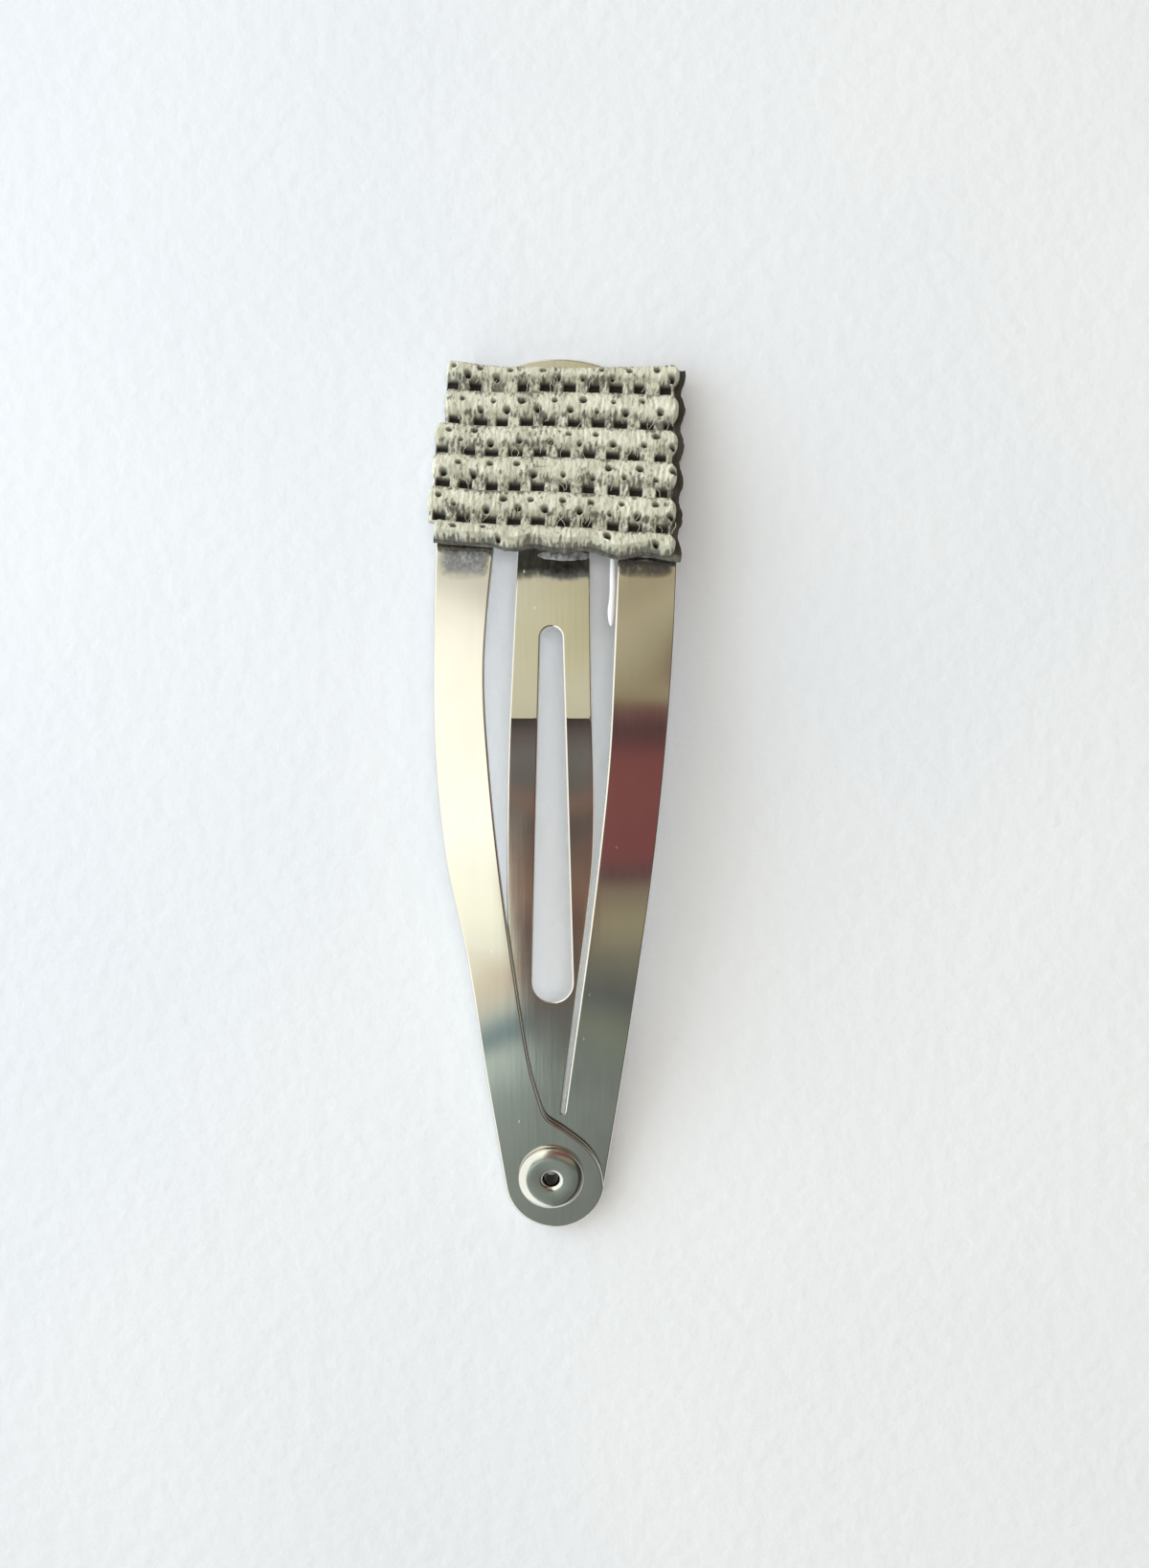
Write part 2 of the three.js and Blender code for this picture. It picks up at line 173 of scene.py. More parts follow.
# %% Bands
window_band = room_ramp(
    (-45.5, (0.27, 0.31, 0.28)), (-44, (0.38, 0.46, 0.43)), (-39, (0.56, 0.66, 0.61)),
    (-36, (0.62, 0.72, 0.66)), (-33, (0.23, 0.33, 0.35)), (-31, (0.25, 0.35, 0.37)),
    (-28.5, (0.66, 0.72, 0.64)), (-26, (0.84, 0.76, 0.6)), (-23.5, (0.84, 0.7, 0.54)),
    (-21, (1.1, 1.12, 0.94)), (-15, (1.32, 1.33, 1.1)), (0, (1.45, 1.45, 1.3)), (17, (1.4, 1.38, 1.2)),
    (26, (1.23, 1.2, 1.04)), (33, (0.82, 0.8, 0.7)))
ceiling_band = room_ramp(
    (-45, (0.18, 0.2, 0.18)), (-40, (0.12, 0.14, 0.13)), (-34, (0.16, 0.165, 0.155)),
    (-22, (0.13, 0.09, 0.08)), (-16, (0.16, 0.09, 0.08)), (-11, (0.26, 0.16, 0.115)),
    (-7, (0.21, 0.14, 0.11)), (-1, (0.12, 0.105, 0.095)), (2, (0.26, 0.16, 0.12)),
    (4.5, (0.15, 0.14, 0.13)), (10, (0.18, 0.175, 0.16)), (13.6, (0.14, 0.105, 0.1)),
    (15, (0.045, 0.04, 0.038)), (20, (0.045, 0.04, 0.038)), (22, (0.72, 0.7, 0.5)), (28, (0.74, 0.71, 0.54)),
    (34, (0.72, 0.69, 0.44)), (43.5, (0.7, 0.66, 0.42)), (46, (0.4, 0.4, 0.39)))
curtain_band = room_ramp(
    (-45, (0.18, 0.205, 0.19)), (-41, (0.23, 0.26, 0.2)), (-34.5, (0.125, 0.135, 0.13)),
    (-25.5, (0.23, 0.22, 0.165)), (-16, (0.355, 0.32, 0.21)), (-11, (0.26, 0.21, 0.15)),
    (-9.3, (0.12, 0.07, 0.075)), (-6, (0.24, 0.085, 0.085)), (9, (0.25, 0.09, 0.085)),
    (11.5, (0.16, 0.07, 0.07)), (14.2, (0.1, 0.055, 0.058)), (16, (0.17, 0.08, 0.078)),
    (17.6, (0.2, 0.1, 0.085)), (18.6, (0.35, 0.29, 0.18)), (22, (0.46, 0.42, 0.28)),
    (27.5, (0.53, 0.46, 0.31)), (34, (0.4, 0.34, 0.22)))
print("bands along the room: window, ceiling, curtain")

# %% [markdown]
# ## Side by side
# Two more ramps say where one band ends and the next begins, because the window and the curtain come closer
# together at the near end. Beyond them the room is plain: the bare window pane on the left, and on the right
# a dark corner with a grey wall behind it. The pane and the corner draw the white and the dark lines along
# the edges that face them, and the wall keeps the metal from turning black when it is seen from behind.

# %% Room
PANE_AT = 21
PANE_BLEND = 4
CORNER_AT = 34
CORNER_BLEND = 8
WALL_AT = 60
WALL_BLEND = 14
BAND_BLEND = 0.6


def band_edge(*stops):
    """Where a band ends, as degrees across the room that change along it."""
    return room_ramp(*((angle, (place, place, place)) for angle, place in stops))


def plain_band(near, far):
    return room_ramp((-QUARTER_TURN, near), (QUARTER_TURN, far))


def beyond(edge, first, second, half_width):
    """Mixes two bands round an edge that runs through the room. The half width is in degrees."""
    share = add_node(sky, "ShaderNodeMapRange", {
        "Value": edge, "From Min": -half_width, "From Max": half_width},
        interpolation_type="SMOOTHSTEP").outputs["Result"]
    return mix_colors(sky, share, first, second)


window_edge = band_edge(
    (-44, 1.2), (-39, 1.9), (-33, 3.7), (-27, 5.7), (-22, 7.4), (-10, 8.6), (2, 7), (20, 7), (26, 4.5),
    (33, 2.5))
curtain_edge = band_edge(
    (-44.5, 0), (-41, 1), (-33, 2.8), (-24, 4.3), (-10, 5.7), (2, 4.6), (14, 4.2), (22, 3.6), (27, 2.3),
    (33, 1))
white_pane = plain_band((1.25, 1.27, 1.2), (1.4, 1.4, 1.3))
dark_corner = plain_band((0.035, 0.035, 0.035), (0.035, 0.035, 0.035))
far_wall = plain_band((0.4, 0.385, 0.36), (0.4, 0.385, 0.36))

past_window = math_node(sky, "ADD", across_room, window_edge)
past_ceiling = math_node(sky, "SUBTRACT", across_room, curtain_edge)
left_half = beyond(past_window, window_band, ceiling_band, BAND_BLEND)
lit_room = beyond(past_ceiling, left_half, curtain_band, BAND_BLEND)
right_corner = beyond(math_node(sky, "SUBTRACT", across_room, CORNER_AT), lit_room, dark_corner, CORNER_BLEND)
right_closed = beyond(math_node(sky, "SUBTRACT", across_room, WALL_AT), right_corner, far_wall, WALL_BLEND)
whole_room = beyond(math_node(sky, "ADD", across_room, PANE_AT), white_pane, right_closed, PANE_BLEND)
sky.links.new(whole_room, sky.nodes["Background"].inputs["Color"])
print("room nodes:", len(sky.nodes))

# %% [markdown]
# ## Light
# Most of the light comes from straight above, so it reaches the paper between the arms. A soft bluish lamp
# stands low on the left, as a window does, and throws a long soft shadow to the right. The lamps don't show
# in the metal, which mirrors the room instead.

# %% Lamps
def area_lamp(name, place, size, power, color):
    lamp_data = bpy.data.lights.new(name, "AREA")
    lamp_data.shape = "RECTANGLE"
    lamp_data.size, lamp_data.size_y = size
    lamp_data.energy = power
    lamp_data.color = color
    lamp = bpy.data.objects.new(name, lamp_data)
    lamp.location = place
    lamp.rotation_euler = (-Vector(place)).to_track_quat("-Z", "Y").to_euler()
    lamp.visible_glossy = False
    scene.collection.objects.link(lamp)
    return lamp


window_lamp = area_lamp(
    "window_lamp", place=(-0.11, 0.03, 0.085), size=(0.1, 0.12), power=0.066, color=(0.52, 0.72, 1))
room_lamp = area_lamp(
    "room_lamp", place=(0.02, 0.03, 0.6), size=(0.16, 0.16), power=0.96, color=(1, 0.945, 0.92))
print("lamps:", window_lamp.name, room_lamp.name)

# %% [markdown]
# ## Starting a finish
# Blender gives a new material one Principled shader, and a finish feeds its sockets. Patterns are drawn by
# the place on the object, so no mesh has to be unwrapped, and most of a noise lies between two levels, which
# the two colours of a cloudy finish are set to.

# %% Finish helpers
NOISE_LOW = 0.3
NOISE_HIGH = 0.7


def start_material(name):
    material = bpy.data.materials.new(name)
    material.use_nodes = True
    tree = material.node_tree
    return material, tree, tree.nodes["Principled BSDF"]


def object_coordinates(tree):
    return add_node(tree, "ShaderNodeTexCoord").outputs["Object"]


def cloudy_color(tree, clouds, dull, bright):
    return ramp(tree, clouds, [(NOISE_LOW, dull), (NOISE_HIGH, bright)])


def link_bump(tree, shader, height, strength, distance):
    bump = add_node(tree, "ShaderNodeBump", {"Height": height, "Strength": strength, "Distance": distance})
    tree.links.new(bump.outputs["Normal"], shader.inputs["Normal"])


print("noise is spread from", NOISE_LOW, "to", NOISE_HIGH)

# %% [markdown]
# ## Paper
# The clip lies on plain pale paper. A sheet of paper is flat but never quite even, so its colour drifts a
# little and a fine bump gives it a tooth. It is only a stage for the clip and isn't part of the object.

# %% Paper
PAPER_HALF_SIZE = 0.6
PAPER_LEVEL = -0.00002
CLOUDS_PER_METRE = 26
TEETH_PER_METRE = 950
TOOTH_STRENGTH = 0.4
TOOTH_DEPTH = 0.0002
PAPER_COLORS = ((0.8, 0.83, 0.87), (0.86, 0.88, 0.9))
PAPER_ROUGHNESS = 0.9


def paper_material():
    material, tree, shader = start_material("paper")
    place = object_coordinates(tree)
    cloud = add_node(tree, "ShaderNodeTexNoise", {"Vector": place, "Scale": CLOUDS_PER_METRE, "Detail": 3})
    tree.links.new(cloudy_color(tree, cloud.outputs["Fac"], *PAPER_COLORS), shader.inputs["Base Color"])
    tooth = add_node(tree, "ShaderNodeTexNoise", {"Vector": place, "Scale": TEETH_PER_METRE, "Detail": 4})
    link_bump(tree, shader, tooth.outputs["Fac"], TOOTH_STRENGTH, TOOTH_DEPTH)
    shader.inputs["Roughness"].default_value = PAPER_ROUGHNESS
    return material


def paper_sheet(half, level):
    corners = [(-half, -half, level), (half, -half, level), (half, half, level), (-half, half, level)]
    mesh = bpy.data.meshes.new("paper")
    mesh.from_pydata(corners, [], [(0, 1, 2, 3)])
    mesh.materials.append(paper_material())
    paper = bpy.data.objects.new("paper", mesh)
    scene.collection.objects.link(paper)
    return paper


paper = paper_sheet(PAPER_HALF_SIZE, PAPER_LEVEL)
print("paper is", round(paper.dimensions.x, 2), "m wide")

# %% [markdown]
# ## The form of the sheet
# The whole clip is one stamping, bent to an arch along its length and domed a little across its arms. The
# same few formulas that shaped the CAD model give the height of the sheet at any place, so fine surfaces
# land exactly where the coarse ones are. Sizes are in millimetres until a mesh is finished.

# %% Arch and dome
HALF_LENGTH = 25
SHEET = 0.45
LAYER = SHEET + 0.05
TIP_SLOPE = math.radians(18)
TIP_FLAT_END = -17
BOW_SLOPE = math.radians(15.2)
BOW_FLAT_START = 11.1
DOME = 0.01
DOME_TIP_FADE = (-17.9, -9)
DOME_BOW_FADE = (5.5, 13.2)
TONGUE_DOME_FADE = (-5, 2)
JOGGLE = (-17.5, -8)
ARCH_RADIUS = (BOW_FLAT_START - TIP_FLAT_END) / (math.sin(TIP_SLOPE) + math.sin(BOW_SLOPE))
ARCH_TOP_Y = TIP_FLAT_END + ARCH_RADIUS * math.sin(TIP_SLOPE)
CREASE_Y = 4.1
CREASE_DROP = math.tan(math.radians(4))


def smoothstep(value, low, high):
    share = min(max((value - low) / (high - low), 0), 1)
    return share * share * (3 - 2 * share)


def arch_arc(y):
    return math.sqrt(ARCH_RADIUS ** 2 - (y - ARCH_TOP_Y) ** 2) - ARCH_RADIUS


def arch_height(y):
    if y < TIP_FLAT_END:
        return arch_arc(TIP_FLAT_END) - (TIP_FLAT_END - y) * math.tan(TIP_SLOPE)
    if y > BOW_FLAT_START:
        return arch_arc(BOW_FLAT_START) - (y - BOW_FLAT_START) * math.tan(BOW_SLOPE)
    return arch_arc(y)


LIFT = LAYER + SHEET / 2 - arch_height(-HALF_LENGTH)


def domed_sheet(x, y, fade_away):
    fade = smoothstep(y, *DOME_TIP_FADE) * (1 - smoothstep(y, *fade_away))
    return LIFT + arch_height(y) - DOME * fade * x * x


def upper_sheet(x, y):
    return domed_sheet(x, y, DOME_BOW_FADE)


def right_arm_sheet(x, y):
    return upper_sheet(x, y) - LAYER * (1 - smoothstep(y, *JOGGLE))


def tongue_sheet(x, y):
    return domed_sheet(x, y, TONGUE_DOME_FADE) - LAYER - max(0, y - CREASE_Y) * CREASE_DROP


print("arch radius:", round(ARCH_RADIUS, 1), "mm, top of the sheet:", round(LIFT, 2), "mm")

# %% [markdown]
# ## Curves
# A stamped edge is a smooth curve through a few points, and its ends are arcs. A spline that passes through
# every point is the easiest one to place, and it is the same kind that the CAD model uses.

# %% Curves
def spline(points, steps=10):
    """A curve through all the points, without the first one."""
    path = []
    for i in range(len(points) - 1):
        before = points[max(i - 1, 0)]
        start, end = points[i], points[i + 1]
        after = points[min(i + 2, len(points) - 1)]
        for step in range(1, steps + 1):
            t = step / steps
            path.append(tuple(
                (2 * t ** 3 - 3 * t ** 2 + 1) * b + (t ** 3 - 2 * t ** 2 + t) * (c - a) / 2
                + (3 * t ** 2 - 2 * t ** 3) * c + (t ** 3 - t ** 2) * (d - b) / 2
                for a, b, c, d in zip(before, start, end, after)))
    return path


def arc(centre, radii, start, end, steps):
    """Part of an ellipse between two angles in degrees."""
    turn = [math.radians(start + (end - start) * i / steps) for i in range(steps + 1)]
    return [(centre[0] + radii[0] * math.cos(t), centre[1] + radii[1] * math.sin(t)) for t in turn]


def straight(start, end, steps):
    """A straight line in equal steps, without its first point."""
    return [tuple(a + (b - a) * i / steps for a, b in zip(start, end)) for i in range(1, steps + 1)]


print("a quarter circle in 2 steps:", [tuple(round(n, 2) for n in p) for p in arc((0, 0), (1, 1), 0, 90, 2)])

# %% [markdown]
# ## Outlines
# On the real clip one blank is cut out and folded over at the tip. The model parts it where the bow meets
# the right arm and where the tongue bends, so the outline comes in three pieces and a slot. Where two pieces
# meet, both get the same points along the seam, and can be joined without a crack.

# %% Outlines
HALF_WIDTH = 6.85
TIP_RADIUS = 2.85
TIP_CENTRE = (-0.15, TIP_RADIUS - HALF_LENGTH)
TIP_TAPER = 9.6
TIP_ARC = arc(TIP_CENTRE, (TIP_RADIUS, TIP_RADIUS), 180 + TIP_TAPER, 360 - TIP_TAPER, 36)
BOW_SEAM = 15
BOW_RISE = 6
WINDOW = 3.45
WINDOW_RISE = 3.6
LOBE_END = (-0.97, -17.6)
ROOT_Y = -18.25
ROOT_LEFT = (-2.25, ROOT_Y)
ROOT_ARM = (0.38, ROOT_Y)
EDGE_ROUND = 0.13
EDGE_ROWS = (0.12, 0.4, 1)


def seam(start, end, y):
    """A line where one sheet is parted for the model, with extra points where its two edges are rounded."""
    rows = [share * math.copysign(EDGE_ROUND, end - start) for share in EDGE_ROWS]
    places = [start, *(start + row for row in rows), *(end - row for row in reversed(rows)), end]
    return [(x, y) for x in places]


SEAM = seam(HALF_WIDTH, WINDOW, BOW_SEAM)


def left_side_outline():
    """The bow, the left arm and the lobe at its tip, anticlockwise from the seam on the right."""
    bow_side = straight((HALF_WIDTH, BOW_SEAM), (HALF_WIDTH, HALF_LENGTH - BOW_RISE), 8)
    bow_end = arc((0, HALF_LENGTH - BOW_RISE), (HALF_WIDTH, BOW_RISE), 0, 180, 48)[1:]
    left_side = straight((-HALF_WIDTH, HALF_LENGTH - BOW_RISE), (-HALF_WIDTH, BOW_SEAM), 8)
    outer = spline([
        (-HALF_WIDTH, BOW_SEAM), (-6.9, 7), (-6.72, 1.4), (-6.12, -4), (-5.02, -9.2), (-4.03, -15.8),
        TIP_ARC[0]])
    lobe = spline([TIP_ARC[-1], (2.45, -21.45), (1.75, -20.3), (0.43, -19.2), (-0.57, -18.5), LOBE_END])
    inner = spline([LOBE_END, (-1.69, -14.6), (-2.94, -6), (-3.74, 1.4), (-4.03, 7.5), (-WINDOW, BOW_SEAM)])
    window = arc((0, BOW_SEAM), (WINDOW, WINDOW_RISE), 180, 0, 28)[1:]
    sides = [SEAM[0], *bow_side, *bow_end, *left_side, *outer, *TIP_ARC[1:]]
    return [*sides, *lobe, *inner, *window, *SEAM[-2:0:-1]]


def right_side_outline():
    """The right arm and the tab that its tip ends in, up to the seam with the bow."""
    tab = straight(ROOT_LEFT, TIP_ARC[0], 8)
    outer = spline([
        TIP_ARC[-1], (3.71, -15.8), (4.66, -9.2), (5.37, -4), (5.97, 1.5), (6.47, 7.5),
        (HALF_WIDTH, BOW_SEAM)])
    inner = spline([(WINDOW, BOW_SEAM), (3.16, 8), (2.81, 1.4), (1.95, -6.6), (0.87, -14.6), ROOT_ARM])
    return [*tab, *TIP_ARC[1:], *outer, *SEAM[1:], *inner, *seam(ROOT_ARM[0], ROOT_LEFT[0], ROOT_Y)[1:]]


print("points on the left and right sides:", len(left_side_outline()), len(right_side_outline()))

# %% [markdown]
# ## The tongue's outline
# The tongue is cut from the same sheet as the arms, and a long slot makes it springy. The slot is wide at the
# tip's end and narrow at the other, so two arcs of different size and two straight lines draw it.

# %% Tongue outline
ROOT_TONGUE = (0.22, ROOT_Y)
TONGUE_END = (-0.18, 15.2)
TONGUE_END_RADIUS = 2.05
SLOT_BOTTOM = (-0.28, -10.61)
SLOT_BOTTOM_RADIUS = 1.1
SLOT_TOP = (-0.33, 8.7)
SLOT_TOP_RADIUS = 0.6


def tongue_outline():
    end = arc(TONGUE_END, (TONGUE_END_RADIUS, TONGUE_END_RADIUS), 0, 180, 28)
    right = spline([ROOT_TONGUE, (0.66, -14.6), (1.72, -6.8), (2.07, -2), (1.93, 6), end[0]])
    left = spline([end[-1], (-2.57, 6.7), (-2.74, 2), (-2.82, -4), (-2.78, -10), ROOT_LEFT])
    return [*right, *end[1:], *left, *seam(ROOT_LEFT[0], ROOT_TONGUE[0], ROOT_Y)[1:]]


def slot_outline():
    bottom = arc(SLOT_BOTTOM, (SLOT_BOTTOM_RADIUS, SLOT_BOTTOM_RADIUS), 180, 360, 24)
    top = arc(SLOT_TOP, (SLOT_TOP_RADIUS, SLOT_TOP_RADIUS), 0, 180, 16)
    return [*bottom, *straight(bottom[-1], top[0], 30), *top[1:], *straight(top[-1], bottom[0], 30)[:-1]]


print("points on the tongue and its slot:", len(tongue_outline()), len(slot_outline()))

# %% [markdown]
# ## Places inside an outline
# An outline is about to be filled with points, and each of them needs two answers: is it inside, and how far
# is the nearest cut edge? A seam doesn't count as an edge, because the real sheet isn't cut there.

# %% Inside and edge
LONGEST_STEP = 0.3
FAR = 0.6
CLOSE = 1e-4


def ring_steps(ring):
    """Each point of a closed ring with the next one."""
    return zip(ring, [*ring[1:], ring[0]])


def is_inside(point, rings):
    x, y = point
    inside = False
    for ring in rings:
        for (x1, y1), (x2, y2) in ring_steps(ring):
            if (y1 > y) != (y2 > y) and x < x1 + (y - y1) * (x2 - x1) / (y2 - y1):
                inside = not inside
    return inside


def refine(ring):
    """Cuts the long steps of a ring into equal shorter ones."""
    fine = []
    for start, end in ring_steps(ring):
        steps = max(1, math.ceil(math.dist(start, end) / LONGEST_STEP))
        fine += [Vector(start).lerp(Vector(end), i / steps) for i in range(steps)]
    return fine


def on_line(points, y):
    return all(abs(point.y - y) < CLOSE for point in points)


def on_seam(points):
    return on_line(points, BOW_SEAM) or on_line(points, ROOT_Y)


def cut_edges(rings):
    """Every step of the rings that is a real edge of the sheet and not a seam."""
    return [step for ring in rings for step in ring_steps(ring) if not on_seam(step)]


def edge_distance(point, cuts):
    nearest = FAR
    for start, end in cuts:
        if abs(start.y - point.y) < FAR:
            run = end - start
            share = min(max((point - start).dot(run) / run.length_squared, 0), 1)
            nearest = min(nearest, (point - start - run * share).length)
    return nearest


print("long steps are cut to", LONGEST_STEP, "mm")

# %% [markdown]
# ## Filling an outline
# A fan of long thin triangles would crease a bent sheet. A constrained Delaunay fill keeps the outline and
# makes small even triangles from a grid of points inside it. A stamped edge is rounded by tumbling, so rows
# of points also run close beside every edge, ready to drop.

# %% Fill
EDGE_CLEARANCE = 0.25
SMALLEST_AREA = 1e-5
PROBE = 0.01


def edge_rows(rings, rounding):
    """Rows of points beside the edges, which carry their rounding."""
    points = []
    for ring in rings:
        for before, here, after in zip([ring[-1], *ring[:-1]], ring, [*ring[1:], ring[0]]):
            if on_seam((before, here, after)):
                continue
            run = ((after - here).normalized() + (here - before).normalized()).normalized()
            inward = Vector((-run.y, run.x))
            if not is_inside(here + inward * PROBE, rings):
                inward = -inward
            beside = [here + inward * share * rounding for share in EDGE_ROWS]
            points += [point for point in beside if is_inside(point, rings)]
    return points


def fill_points(rings, cuts, spacing):
    """Points in a triangular grid inside the rings, kept clear of the edges."""
    low, high = [[pick(p[i] for ring in rings for p in ring) for i in (0, 1)] for pick in (min, max)]
    row_height = spacing * math.sin(math.pi / 3)
    points = []
    for row in range(int((high[1] - low[1]) / row_height) + 1):
        for column in range(int((high[0] - low[0]) / spacing) + 2):
            place = (low[0] + (column + row % 2 / 2) * spacing, low[1] + row * row_height)
            if is_inside(place, rings) and edge_distance(Vector(place), cuts) > EDGE_CLEARANCE:
                points.append(Vector(place))
    return points


def fill_outline(rings, cuts, rounding, spacing, extra_points):
    """Flat points and triangles that fill the outline."""
    points = [point for ring in rings for point in ring]
    edges = []
    first = 0
    for ring in rings:
        edges += [(first + i, first + (i + 1) % len(ring)) for i in range(len(ring))]
        first += len(ring)
    if rounding:
        points += edge_rows(rings, rounding)
    points += [*fill_points(rings, cuts, spacing), *extra_points]
    flat, _, triangles, *_ = delaunay_2d_cdt(points, edges, [], 0, CLOSE)
    kept = []
    for a, b, c in triangles:
        area = abs((flat[b] - flat[a]).cross(flat[c] - flat[a])) / 2
        if area > SMALLEST_AREA and is_inside((flat[a] + flat[b] + flat[c]) / 3, rings):
            kept.append((a, b, c))
    return flat, kept


print("edges are rounded over", EDGE_ROUND, "mm")

# %% [markdown]
# ## From an outline to bent plate
# The filled outline takes the height of the sheet once for the top and once for the underside, and a strip
# of faces closes the cut edges. Near an edge the top and the underside come together along a quarter circle.

# %% Plate maker
def add_plate(bm, outlines, height_at, spacing=0.5, extra_points=(), thickness=SHEET, rounding=EDGE_ROUND):
    """Adds a bent plate with these outer and inner edges to bm."""
    rings = [refine(ring) for ring in outlines]
    cuts = cut_edges(rings)
    flat, triangles = fill_outline(rings, cuts, rounding, spacing, extra_points)
    top = []
    bottom = []
    for point in flat:
        short = max(rounding - edge_distance(point, cuts), 0)
        half = thickness / 2 - rounding + math.sqrt(max(rounding ** 2 - short ** 2, 0))
        middle = height_at(*point)
        top.append(bm.verts.new((*point, middle + half)))
        bottom.append(bm.verts.new((*point, middle - half)))
    steps = set()
    for a, b, c in triangles:
        bm.faces.new((top[a], top[b], top[c]))
        bm.faces.new((bottom[c], bottom[b], bottom[a]))
        steps |= {(a, b), (b, c), (c, a)}
    for a, b in steps:
        if (b, a) not in steps and not on_line((flat[a], flat[b]), BOW_SEAM):
            bm.faces.new((top[b], top[a], bottom[a], bottom[b]))
    bmesh.ops.delete(bm, geom=[v for v in bm.verts if not v.link_faces], context="VERTS")


def finish_piece(name, bm, body, replaced):
    """A piece made in millimetres becomes a shaded mesh in metres. It rides on the body, if one is given."""
    bmesh.ops.recalc_face_normals(bm, faces=bm.faces)
    mesh = bpy.data.meshes.new(name)
    bm.to_mesh(mesh)
    bm.free()
    mesh.transform(Matrix.Scale(MM, 4))
    mesh.shade_smooth()
    piece = bpy.data.objects.new(name, mesh)
    scene.collection.objects.link(piece)
    if body:
        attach(piece, body)
    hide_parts(*replaced)
    return piece


print("plate is", SHEET, "mm thick")

# %% [markdown]
# ## A mirror without dents
# Flat triangles make a mirror look dented, however small they are. The height formula knows the true slope of
# the sheet at every place, so the broad faces get their shading normals from it, and only the rounded edges
# keep the normals of their own faces.

# %% Polish
SLOPE_STEP = 0.03
BROAD_FACE = 0.985


def sheet_normal(height_at, x, y):
    """The upward normal of a sheet. The first x that height_at gets says which side of the clip is meant."""
    run = 2 * SLOPE_STEP
    slope_x = (height_at(x, x + SLOPE_STEP, y) - height_at(x, x - SLOPE_STEP, y)) / run
    slope_y = (height_at(x, x, y + SLOPE_STEP) - height_at(x, x, y - SLOPE_STEP)) / run
    return Vector((-slope_x, -slope_y, 1)).normalized()


def polish(piece, height_at):
    """Gives the broad faces of a plate the normals of its height formula."""
    mesh = piece.data
    normals = [vert.normal.copy() for vert in mesh.vertices]
    for face in mesh.polygons:
        x, y, _ = face.center / MM
        if abs(face.normal.dot(sheet_normal(height_at, x, y))) < BROAD_FACE:
            continue
        for index in face.vertices:
            x, y, _ = mesh.vertices[index].co / MM
            normals[index] = sheet_normal(height_at, x, y) * math.copysign(1, face.normal.z)
    mesh.normals_split_custom_set_from_vertices(normals)


print("polish needs a face within", round(math.degrees(math.acos(BROAD_FACE))), "degrees of the formula")

# %% [markdown]
# ## The stamped frame
# Bow and arms are one sheet. At the tip the left arm's lobe lies over the tab of the right arm, so the two
# sides overlap in plan and can't be filled in one go. They are filled one after the other and welded along
# the seam below the bow, where both have the same points.

# %% Frame
RIVET_X = -0.36
RIVET_Y = -21.9
HOLE_RADIUS = 1.2
HOLE_SIDES = 24
WELD = 0.001


def rivet_hole(layers_down):
    shift = layers_down * LAYER * math.sin(TIP_SLOPE) * math.cos(TIP_SLOPE)
    last = 360 - 360 / HOLE_SIDES
    return arc((RIVET_X, RIVET_Y + shift), (HOLE_RADIUS, HOLE_RADIUS), 0, last, HOLE_SIDES - 1)


def stamped_frame():
    bm = bmesh.new()
    add_plate(bm, [left_side_outline(), rivet_hole(0)], upper_sheet)
    add_plate(bm, [right_side_outline(), rivet_hole(1)], right_arm_sheet)
    bmesh.ops.remove_doubles(bm, verts=bm.verts, dist=WELD)
    piece = finish_piece(
        "stamped_frame", bm, "frame", ["wide_end_bow", "left_arm", "right_arm"])
    polish(piece, lambda side, x, y: right_arm_sheet(x, y) if side > 0 else upper_sheet(x, y))
    return piece


frame_piece = stamped_frame()
print("frame faces:", len(frame_piece.data.polygons))

# %% [markdown]
# ## The tongue
# The tongue grows out of the right arm's tip and bends there when the clip snaps open. Here it is built as
# one plate with its slot, with extra points along the crease where it drops.

# %% Tongue
CREASE_PLACES = (-2.45, -2.2, -1.9, -1.6, -1.3, 0.65, 0.95, 1.25, 1.5, 1.75)
CREASE_SIDES = (-0.05, 0.05)
TONGUE_SPACING = 0.42
BEND_LENGTH = 4


def stamped_tongue():
    bm = bmesh.new()
    crease = [Vector((x, CREASE_Y + side)) for x in CREASE_PLACES for side in CREASE_SIDES]
    add_plate(bm, [tongue_outline(), slot_outline()], tongue_sheet, TONGUE_SPACING, crease)
    piece = finish_piece("stamped_tongue", bm, None, ["tongue"])
    polish(piece, lambda _, x, y: tongue_sheet(x, y))
    root = Vector((0, ROOT_Y, tongue_sheet(0, ROOT_Y))) * MM
    free = Vector((0, ROOT_Y + BEND_LENGTH, tongue_sheet(0, ROOT_Y))) * MM
    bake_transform(piece)
    return piece


tongue_piece = stamped_tongue()
print("tongue faces:", len(tongue_piece.data.polygons))
